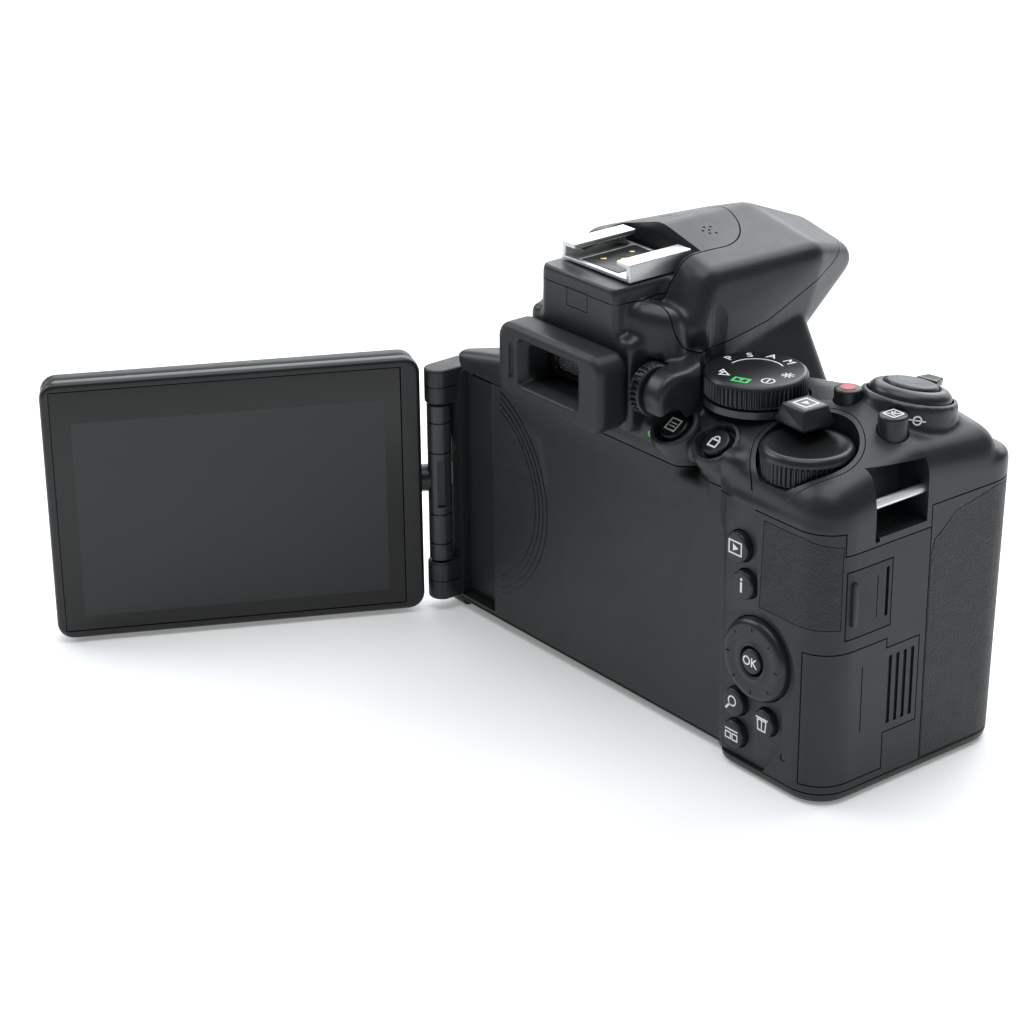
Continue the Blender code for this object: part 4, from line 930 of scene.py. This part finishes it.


# Lens mount and assist lamp ------------------------------------------------------------------

def build_mount():
    face = -FLANGE_Y
    ring = turned([(22.0, face - 3.4), (28.5, face - 3.4), (28.5, face - 0.35), (28.2, face), (22.9, face),
                   (22.6, face - 0.5), (22.0, face - 0.8)], (0, 0, LENS_Z), (0, -1, 0), 192)
    for turn in range(3):
        angle = math.radians(30 + 120 * turn)
        notch = block((21.0, -face - 5, -6.5), (24.0, -face + 2.6, 6.5))
        moved(notch, Matrix.Translation((0, 0, LENS_Z)) @ Matrix.Rotation(-angle, 4, "Y"))
        ring = cut(ring, notch)
    lock = middle("lens_lock_pin")
    ring = cut(ring, rod((lock.x, 0, LENS_Z), (0, -1, 0), 1.2, 30, 50, turns=32),
               *[rod((25.6 * math.cos(a), 0, LENS_Z + 25.6 * math.sin(a)), (0, -1, 0), 1.3, face - 0.7,
                     face + 3, turns=32) for a in screw_angles()])
    finish(ring, "mount_ring", BODY, STEEL, "lens_mount_ring")
    for number, a in enumerate(screw_angles()):
        centre = (25.6 * math.cos(a), FLANGE_Y, LENS_Z + 25.6 * math.sin(a))
        head = turned([(0, -0.6), (1.15, -0.6), (1.15, -0.15), (0.9, -0.05), (0, -0.05)], centre,
                      (0, -1, 0), 32)
        x, _, z = centre
        cross = [block((x - w, FLANGE_Y - 1, z - h), (x + w, FLANGE_Y + 0.4, z + h))
                 for w, h in ((0.7, 0.14), (0.14, 0.7))]
        finish(cut(head, *cross), f"mount_screw_{number}", BODY, CHROME, slot="steel")
    dot = rod((29.3 * math.cos(math.radians(128)), BOSS_Y, LENS_Z + 29.3 * math.sin(math.radians(128))),
              (0, -1, 0), 0.7, -0.5, 0.06, turns=32)
    finish(dot, "mount_index", BODY, WHITE, slot="controls")


def screw_angles():
    return [math.radians(a) for a in (85, 145, 205, 265, 325)]


def build_lamp():
    lamp = turned([(0, 0), (3.0, 0), (3.0, 3.0), (2.8, 3.5), (2.2, 3.9), (1.2, 4.15), (0, 4.2)],
                  (-31, -16.8, 52), (0, -1, 0), 64)
    finish(lamp, "assist_lamp_lens", BODY, LAMP, "af_assist_lamp")


# Monitor ---------------------------------------------------------------------------------------
# Drawn lying along +X from the swing axis, its screen facing +Y, then turned to the opened place.

def swung(obj, name, body, material, *nodes, slot=None):
    moved(obj, Matrix.Translation((HINGE.x, HINGE.y, 0))
          @ Matrix.Rotation(math.radians(SWING_ANGLE), 4, "Z"))
    return finish(obj, name, body, material, *nodes, slot=slot)


def monitor_plate(back, front, inset, edge, corner=3.6):
    low_x, high_x = MONITOR_GAP + inset + corner, MONITOR_GAP + MONITOR_W - inset - corner
    half = MONITOR_H / 2 - inset - corner
    return standing([(x, z, corner) for x in (low_x, high_x) for z in (TILT_Z - half, TILT_Z + half)],
                      back, front, edge)


def neck_hole():
    return rod((0, -MONITOR_OFFSET, TILT_Z), (1, 0, 0), 3.3, 0, 10)


def build_monitor():
    face = MONITOR_T / 2 - MONITOR_OFFSET
    back = face - MONITOR_T
    seam = face - 3.2
    cover = cut(monitor_plate(back, seam - SEAM, 0.3, 1.6), monitor_plate(back + 1.6, face, 2.0, 0.3),
                neck_hole())
    ridge_ends = MONITOR_GAP + 14, MONITOR_GAP + MONITOR_W - 14
    ridges = [block((ridge_ends[0], back - 1, z - 0.15), (ridge_ends[1], back + 0.15, z + 0.15))
              for z in (TILT_Z - 20, TILT_Z + 20)]
    cover = cut(cover, *ridges)
    swung(cover, "monitor_back_shell", "monitor", BAY, "monitor_back_cover")

    glass_x0, glass_x1 = MONITOR_GAP + 4.3, MONITOR_GAP + MONITOR_W - 1.9
    half = MONITOR_H / 2 - 1.9
    pocket = block((glass_x0 - 0.15, face - 1.3, TILT_Z - half - 0.15),
                   (glass_x1 + 0.15, face + 2, TILT_Z + half + 0.15))
    window = block((glass_x0 + 1.5, seam - 2, TILT_Z - half + 1.5),
                   (glass_x1 - 1.5, face, TILT_Z + half - 1.5))
    bezel = cut(monitor_plate(seam, face, 0, 1.0), pocket, window, neck_hole())
    swung(bezel, "monitor_bezel", "monitor", CONTROL, "monitor_front_frame")

    glass = block((glass_x0, face - 1.0, TILT_Z - half), (glass_x1, face - 0.1, TILT_Z + half), 0.12)
    panel = block((glass_x0 + 2, seam - 1.2, TILT_Z - half + 2), (glass_x1 - 2, face - 0.5, TILT_Z
                                                                  + half - 2))
    swung(join(glass, panel), "screen_glass", "monitor", SCREEN_EDGE, "monitor_glass")
    lit = block((MONITOR_GAP + 7.9, face - 0.3, TILT_Z - MONITOR_H / 2 + 5.25),
                (MONITOR_GAP + MONITOR_W - 6.1, face - 0.08, TILT_Z + MONITOR_H / 2 - 9.1))
    swung(lit, "screen_lit_area", "monitor", SCREEN, slot="screen")

    low, high = corner_box("hinge_arm")[0].z, corner_box("hinge_arm")[1].z
    barrel = turned([(0, low), (2.3, low), (2.6, low + 0.3), (2.6, high - 0.3), (2.3, high), (0, high)],
                    (0, 0, 0))
    neck = rod((0, -MONITOR_OFFSET, TILT_Z), (1, 0, 0), 3.0, 0.2, 9.4)
    grooves = [tube((0, 0, 0), (0, 0, 1), 2.35, 4, z, z + 0.35)
               for z in (low + 4, low + 11, high - 11.3, high - 4.3)]
    slot_cut = block((-0.9, 1.9, low + 13), (0.9, 4, high - 13))
    swung(join(cut(barrel, *grooves, slot_cut), neck), "hinge_barrel", "monitor_arm", CONTROL, "hinge_arm")


# Printed marks ---------------------------------------------------------------------------------

def place(centre, right, up):
    """The matrix that puts a mark drawn in X and Y on a surface, its own +X along right and +Y along up."""
    right, up = Vector(right).normalized(), Vector(up).normalized()
    facing = right.cross(up)
    matrix = Matrix((right, facing.cross(right), facing)).transposed().to_4x4()
    matrix.translation = Vector(centre)
    return matrix


def letters(text, size):
    curve = bpy.data.curves.new("letters", "FONT")
    curve.body = text
    curve.size = size
    curve.align_x = "CENTER"
    curve.align_y = "CENTER"
    curve.extrude = 0.03
    curve.offset = size * 0.012
    curve.resolution_u = 3
    holder = bpy.data.objects.new("letters", curve)
    bpy.context.scene.collection.objects.link(holder)
    graph = bpy.context.evaluated_depsgraph_get()
    mesh = bpy.data.meshes.new_from_object(holder.evaluated_get(graph))
    bpy.data.objects.remove(holder, do_unlink=True)
    obj = bpy.data.objects.new("letters", mesh)
    bpy.context.scene.collection.objects.link(obj)
    return obj


def stroke(points, width, closed=False):
    """A printed line of even width through points in X and Y, its corners mitred."""
    points = [Vector(point) for point in points]
    if (points[0] - points[-1]).length < 1e-6:
        points, closed = points[:-1], True
    count = len(points)
    bm = bmesh.new()
    rings = []
    for i, point in enumerate(points):
        before = points[i - 1] if i or closed else None
        after = points[(i + 1) % count] if i + 1 < count or closed else None
        ways = [(b - a).normalized() for a, b in ((before, point), (point, after))
                if a is not None and b is not None]
        along = (ways[0] + ways[-1]).normalized()
        side = Vector((-along.y, along.x)) * width / 2 / max(along.dot(ways[0]), 0.35)
        if len(ways) == 1:
            point = point + along * width / 2 * (1 if i else -1)
        rings.append([bm.verts.new((*(point + side * s), z))
                      for s, z in ((1, -0.03), (1, 0.03), (-1, 0.03), (-1, -0.03))])
    for i in range(count if closed else count - 1):
        a, b = rings[i], rings[(i + 1) % count]
        for k in range(4):
            bm.faces.new((a[k], a[(k + 1) % 4], b[(k + 1) % 4], b[k]))
    if not closed:
        bm.faces.new(rings[0])
        bm.faces.new(list(reversed(rings[-1])))
    bmesh.ops.recalc_face_normals(bm, faces=bm.faces)
    return [add_object("stroke", bm)]


def ring_points(x, y, radius, start=0, end=360, count=24):
    return [(x + radius * math.cos(math.radians(start + (end - start) * i / count)),
             y + radius * math.sin(math.radians(start + (end - start) * i / count)))
            for i in range(count + 1)]


def filled(points):
    return [extruded(points, -0.03, 0.03, "z")]


def mark(name, pieces, matrix, body, material=WHITE):
    finish(moved(merged(pieces), matrix), name, body, material, slot="controls", angle=60)


def square(size):
    return [(-size, -size), (size, -size), (size, size), (-size, size)]


def build_dial_marks():
    top = corner_box("mode_dial")[1].z + 0.02
    start = math.degrees(math.atan2(0.607, -0.794)) + 180
    ring = []
    for number, text in enumerate("PSAM"):
        turn = math.radians(start + 38 - 34 * number)
        outward = Vector((math.cos(turn), math.sin(turn), 0))
        centre = Vector((MODE.x, MODE.y, top)) + outward * 7.5
        across = Vector((outward.y, -outward.x, 0))
        ring.append(moved(letters(text, 2.9), place(centre, across, outward)))
    line = stroke(ring_points(0, 0, 5.4, start + 52, start - 76, 40), 0.3)
    ring += [moved(piece, Matrix.Translation((MODE.x, MODE.y, top))) for piece in line]
    finish(merged(ring), "mode_letters", "mode_dial", WHITE, slot="controls", angle=60)
    icons = (("auto", 150, GREEN, stroke([(-1.5, -0.9), (1.5, -0.9), (1.5, 0.9), (-1.5, 0.9)], 0.5, True)
              + filled([(-0.5, -0.5), (0.5, -0.5), (0.0, 0.6)])),
             ("scene", 106, WHITE, stroke([(-1.6, -0.7), (-0.6, 0.9), (0.3, -0.4), (0.8, 0.3),
                                           (1.6, -0.7)], 0.32, True)),
             ("no_flash", 194, WHITE, stroke(ring_points(0, 0, 1.25), 0.28)
              + stroke([(-0.8, -0.8), (0.8, 0.8)], 0.28)),
             ("effects", 236, WHITE, [p for a in range(0, 180, 45)
                                      for p in stroke([(-1.2 * math.cos(math.radians(a)),
                                                        -1.2 * math.sin(math.radians(a))),
                                                       (1.2 * math.cos(math.radians(a)),
                                                        1.2 * math.sin(math.radians(a)))], 0.26)]), )
    for name, turn, material, pieces in icons:
        angle = math.radians(start + turn)
        outward = Vector((math.cos(angle), math.sin(angle), 0))
        across = Vector((outward.y, -outward.x, 0))
        mark("mode_icon_" + name, pieces,
             place(Vector((MODE.x, MODE.y, top)) + outward * 6.9, across, outward), "mode_dial", material)


def build_button_marks():
    def rear(node, name, pieces, material=WHITE, body=None):
        centre = middle(node)
        y = corner_box(node)[1].y + 0.0
        mark(name, pieces, place((centre.x, y, centre.z), (-1, 0, 0), (0, 0, 1)), body or node, material)

    frame_mark = stroke([(-1.7, -1.3), (1.7, -1.3), (1.7, 1.3), (-1.7, 1.3)], 0.32, True)
    rear("playback_button", "playback_mark", frame_mark + filled([(-0.6, -0.75), (0.9, 0.0), (-0.6, 0.75)]))
    rear("shortcut_button", "shortcut_mark", [letters("i", 4.6)])
    rear("ok_button", "ok_mark", [letters("OK", 2.7)])
    glass = stroke(ring_points(0.1, 0.5, 1.0), 0.3) + stroke([(-0.6, -0.3), (-1.5, -1.4)], 0.45)
    rear("zoom_in_button", "zoom_in_mark", glass)
    rear("zoom_out_button", "zoom_out_mark",
         stroke([(-1.6, -0.9), (-0.2, -0.9), (-0.2, 0.4), (-1.6, 0.4)], 0.28, True)
         + stroke([(0.3, -0.9), (1.7, -0.9), (1.7, 0.4), (0.3, 0.4)], 0.28, True)
         + stroke([(-1.6, 1.1), (1.7, 1.1)], 0.28))
    rear("delete_button", "delete_mark", stroke([(-1.0, -1.4), (1.0, -1.4), (1.2, 0.8), (-1.2, 0.8)],
                                                0.28, True) + stroke([(-1.5, 1.2), (1.5, 1.2)], 0.3)
         + stroke([(0, -1.0), (0, 0.5)], 0.24))
    movie = middle("movie_button")
    mark("movie_dot", filled(ring_points(0, 0, 1.5)[:-1]),
         place((movie.x, movie.y, corner_box("movie_button")[1].z), (-1, 0, 0), (0, -1, 0)),
         "movie_button", RED)
    exposure = middle("exposure_button")
    plus = (stroke([(-1.5, -1.5), (1.5, -1.5), (1.5, 1.5), (-1.5, 1.5)], 0.3, True)
            + stroke([(-1.5, -1.5), (1.5, 1.5)], 0.3) + stroke([(-0.9, 0.5), (-0.1, 0.5)], 0.25)
            + stroke([(-0.5, 0.1), (-0.5, 0.9)], 0.25) + stroke([(0.2, -0.6), (1.0, -0.6)], 0.25))
    mark("exposure_mark", plus, place((exposure.x, exposure.y, corner_box("exposure_button")[1].z),
                                      (-1, 0, 0), (0, -1, 0)), "exposure_button")
    tilt = Vector(tilted_axis(-CUP_TILT))
    up = Vector((0, -tilt.z, tilt.y))
    info = (stroke(square(1.3), 0.3, True) + stroke([(-0.7, 0.3), (0.7, 0.3)], 0.25)
            + stroke([(-0.7, -0.4), (0.7, -0.4)], 0.25))
    mark("info_mark", info, place(cup_centre("info_button") + tilt * 0.12, (-1, 0, 0), up), "info_button")
    lock = stroke([(-1.0, -1.3), (1.0, -1.3), (1.0, 0.2), (-1.0, 0.2)], 0.35, True) + stroke(
        ring_points(0, 0.3, 0.75, 0, 180, 12), 0.3)
    mark("lock_mark", lock, place(cup_centre("ae_lock_button") + tilt * 0.12, (-1, 0, 0), up),
         "ae_lock_button")
    turn = math.radians(-4)
    centre = Vector((MODE.x - 15.15 * math.cos(turn), MODE.y - 15.4 * math.sin(turn), 74.2))
    mark("live_view_mark", stroke(square(1.7), 0.35, True) + filled([(-0.6, -0.8), (0.9, 0.0), (-0.6, 0.8)]),
         place(centre, (-1, 0, 0), (0, -1, 0)), "live_view_lever")


def deck_mark(name, pieces, start, direction, across, material=WHITE):
    """A mark where a line first meets the top cover, lying in the surface and lifted a hair from it."""
    _, point, normal, _ = TOP["shell"].ray_cast(Vector(start) * MM, Vector(direction))
    right = Vector(across) - normal * normal.dot(Vector(across))
    mark(name, pieces, place(point / MM + normal * 0.08, right, normal.cross(right)), BODY, material)


def build_deck_marks():
    sensor_plane = stroke(ring_points(0, 0, 0.8), 0.3) + stroke([(-1.5, 0), (1.5, 0)], 0.26)
    deck_mark("focal_plane_mark", sensor_plane, (-60.8, -15.0, 120), (0, 0, -1), (-1, 0, 0))
    deck_mark("mode_index", stroke([(0, -0.8), (0, 0.8)], 0.7), (-60, -3.0, 78.4), (1, 0, 0), (0, 1, 0))
    deck_mark("info_dot", filled(ring_points(0, 0, 0.75)[:-1]), (-17.6, 60, 62.6), (0, -1, 0), (-1, 0, 0),
              GREEN)


# Light and camera ------------------------------------------------------------------------------

def build_stage():
    bm = bmesh.new()
    bmesh.ops.create_grid(bm, x_segments=1, y_segments=1, size=6.0)
    floor = add_object("floor", bm)
    floor.location.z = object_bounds()[0][2] - 0.0002
    paper = surface("pale floor", (0.90, 0.90, 0.90), 0.7, grain=200.0, bump=0.02, spread=0.01, specular=0.1)
    paper.node_tree.nodes["Principled BSDF"].inputs["Emission Color"].default_value = (1, 1, 1, 1)
    paper.node_tree.nodes["Principled BSDF"].inputs["Emission Strength"].default_value = 0.2
    floor.data.materials.append(paper)
    world = bpy.data.worlds.new("studio")
    world.use_nodes = True
    world.node_tree.nodes["Background"].inputs["Color"].default_value = (0.94, 0.97, 1.0, 1)
    world.node_tree.nodes["Background"].inputs["Strength"].default_value = 0.22
    bpy.context.scene.world = world
    for name, where, size, power, aim in (("overhead", (-0.05, 0.10, 1.15), 0.95, 8.5, (0, 0, 0.03)),
                                          ("backlight", (0.95, -0.85, 0.80), 1.3, 14.0, (0, 0, 0.03)),
                                          ("monitor side", (0.85, 0.42, 0.72), 0.7, 5.5, (0, 0, 0.05)),
                                          ("front top", (0.05, -0.75, 1.0), 0.8, 6.0, (0, 0, 0.05)),
                                          ("low front", (0.35, -1.1, 0.4), 0.6, 2.0, (0, 0, 0.05))):
        light = bpy.data.lights.new(name, "AREA")
        light.size = size
        light.energy = power
        light.color = (0.95, 0.98, 1.0)
        holder = bpy.data.objects.new(name, light)
        holder.location = where
        holder.rotation_euler = (Vector(aim) - Vector(where)).to_track_quat("-Z", "Y").to_euler()
        bpy.context.scene.collection.objects.link(holder)


def build_camera():
    """Looks from behind the grip side, a little from above."""
    azimuth, elevation, roll = math.radians(232.59), math.radians(23.535), math.radians(-0.783)
    back = Vector((math.sin(azimuth) * math.cos(elevation), -math.cos(azimuth) * math.cos(elevation),
                   math.sin(elevation)))
    right = Vector((math.cos(azimuth), math.sin(azimuth), 0))
    up = back.cross(right)
    x = math.cos(roll) * right + math.sin(roll) * up
    y = -math.sin(roll) * right + math.cos(roll) * up
    data = bpy.data.cameras.new("camera")
    data.sensor_width = 36
    data.lens = 95.6
    data.shift_x, data.shift_y = 0.0247, -0.0138
    camera = bpy.data.objects.new("camera", data)
    camera.matrix_world = Matrix((x, y, back)).transposed().to_4x4()
    camera.location = Vector((-388.87, 338.32, 263.81)) * MM
    bpy.context.scene.collection.objects.link(camera)
    bpy.context.scene.camera = camera


def dress_frame():
    """Gives every CAD piece that stays in view its finish."""
    for node, obj in frame["nodes"].items():
        obj.data.materials.clear()
        obj.data.materials.append(SLOT_FINISH[SLOTS[node]])
        obj.data.shade_smooth()
        obj.data.set_sharp_from_angle(angle=math.radians(35))


def main():
    dress_frame()
    body = Body()
    build_shell(body)
    build_rubbers(body)
    build_side_doors(body)
    body.clear()
    build_buttons()
    build_selector()
    build_release()
    build_dials()
    build_lever()
    build_diopter()
    build_eyecup()
    build_hot_shoe()
    build_mount()
    build_lamp()
    build_monitor()
    build_dial_marks()
    build_button_marks()
    build_deck_marks()
    build_stage()
    build_camera()
    bpy.context.scene.view_settings.view_transform = "Standard"


main()
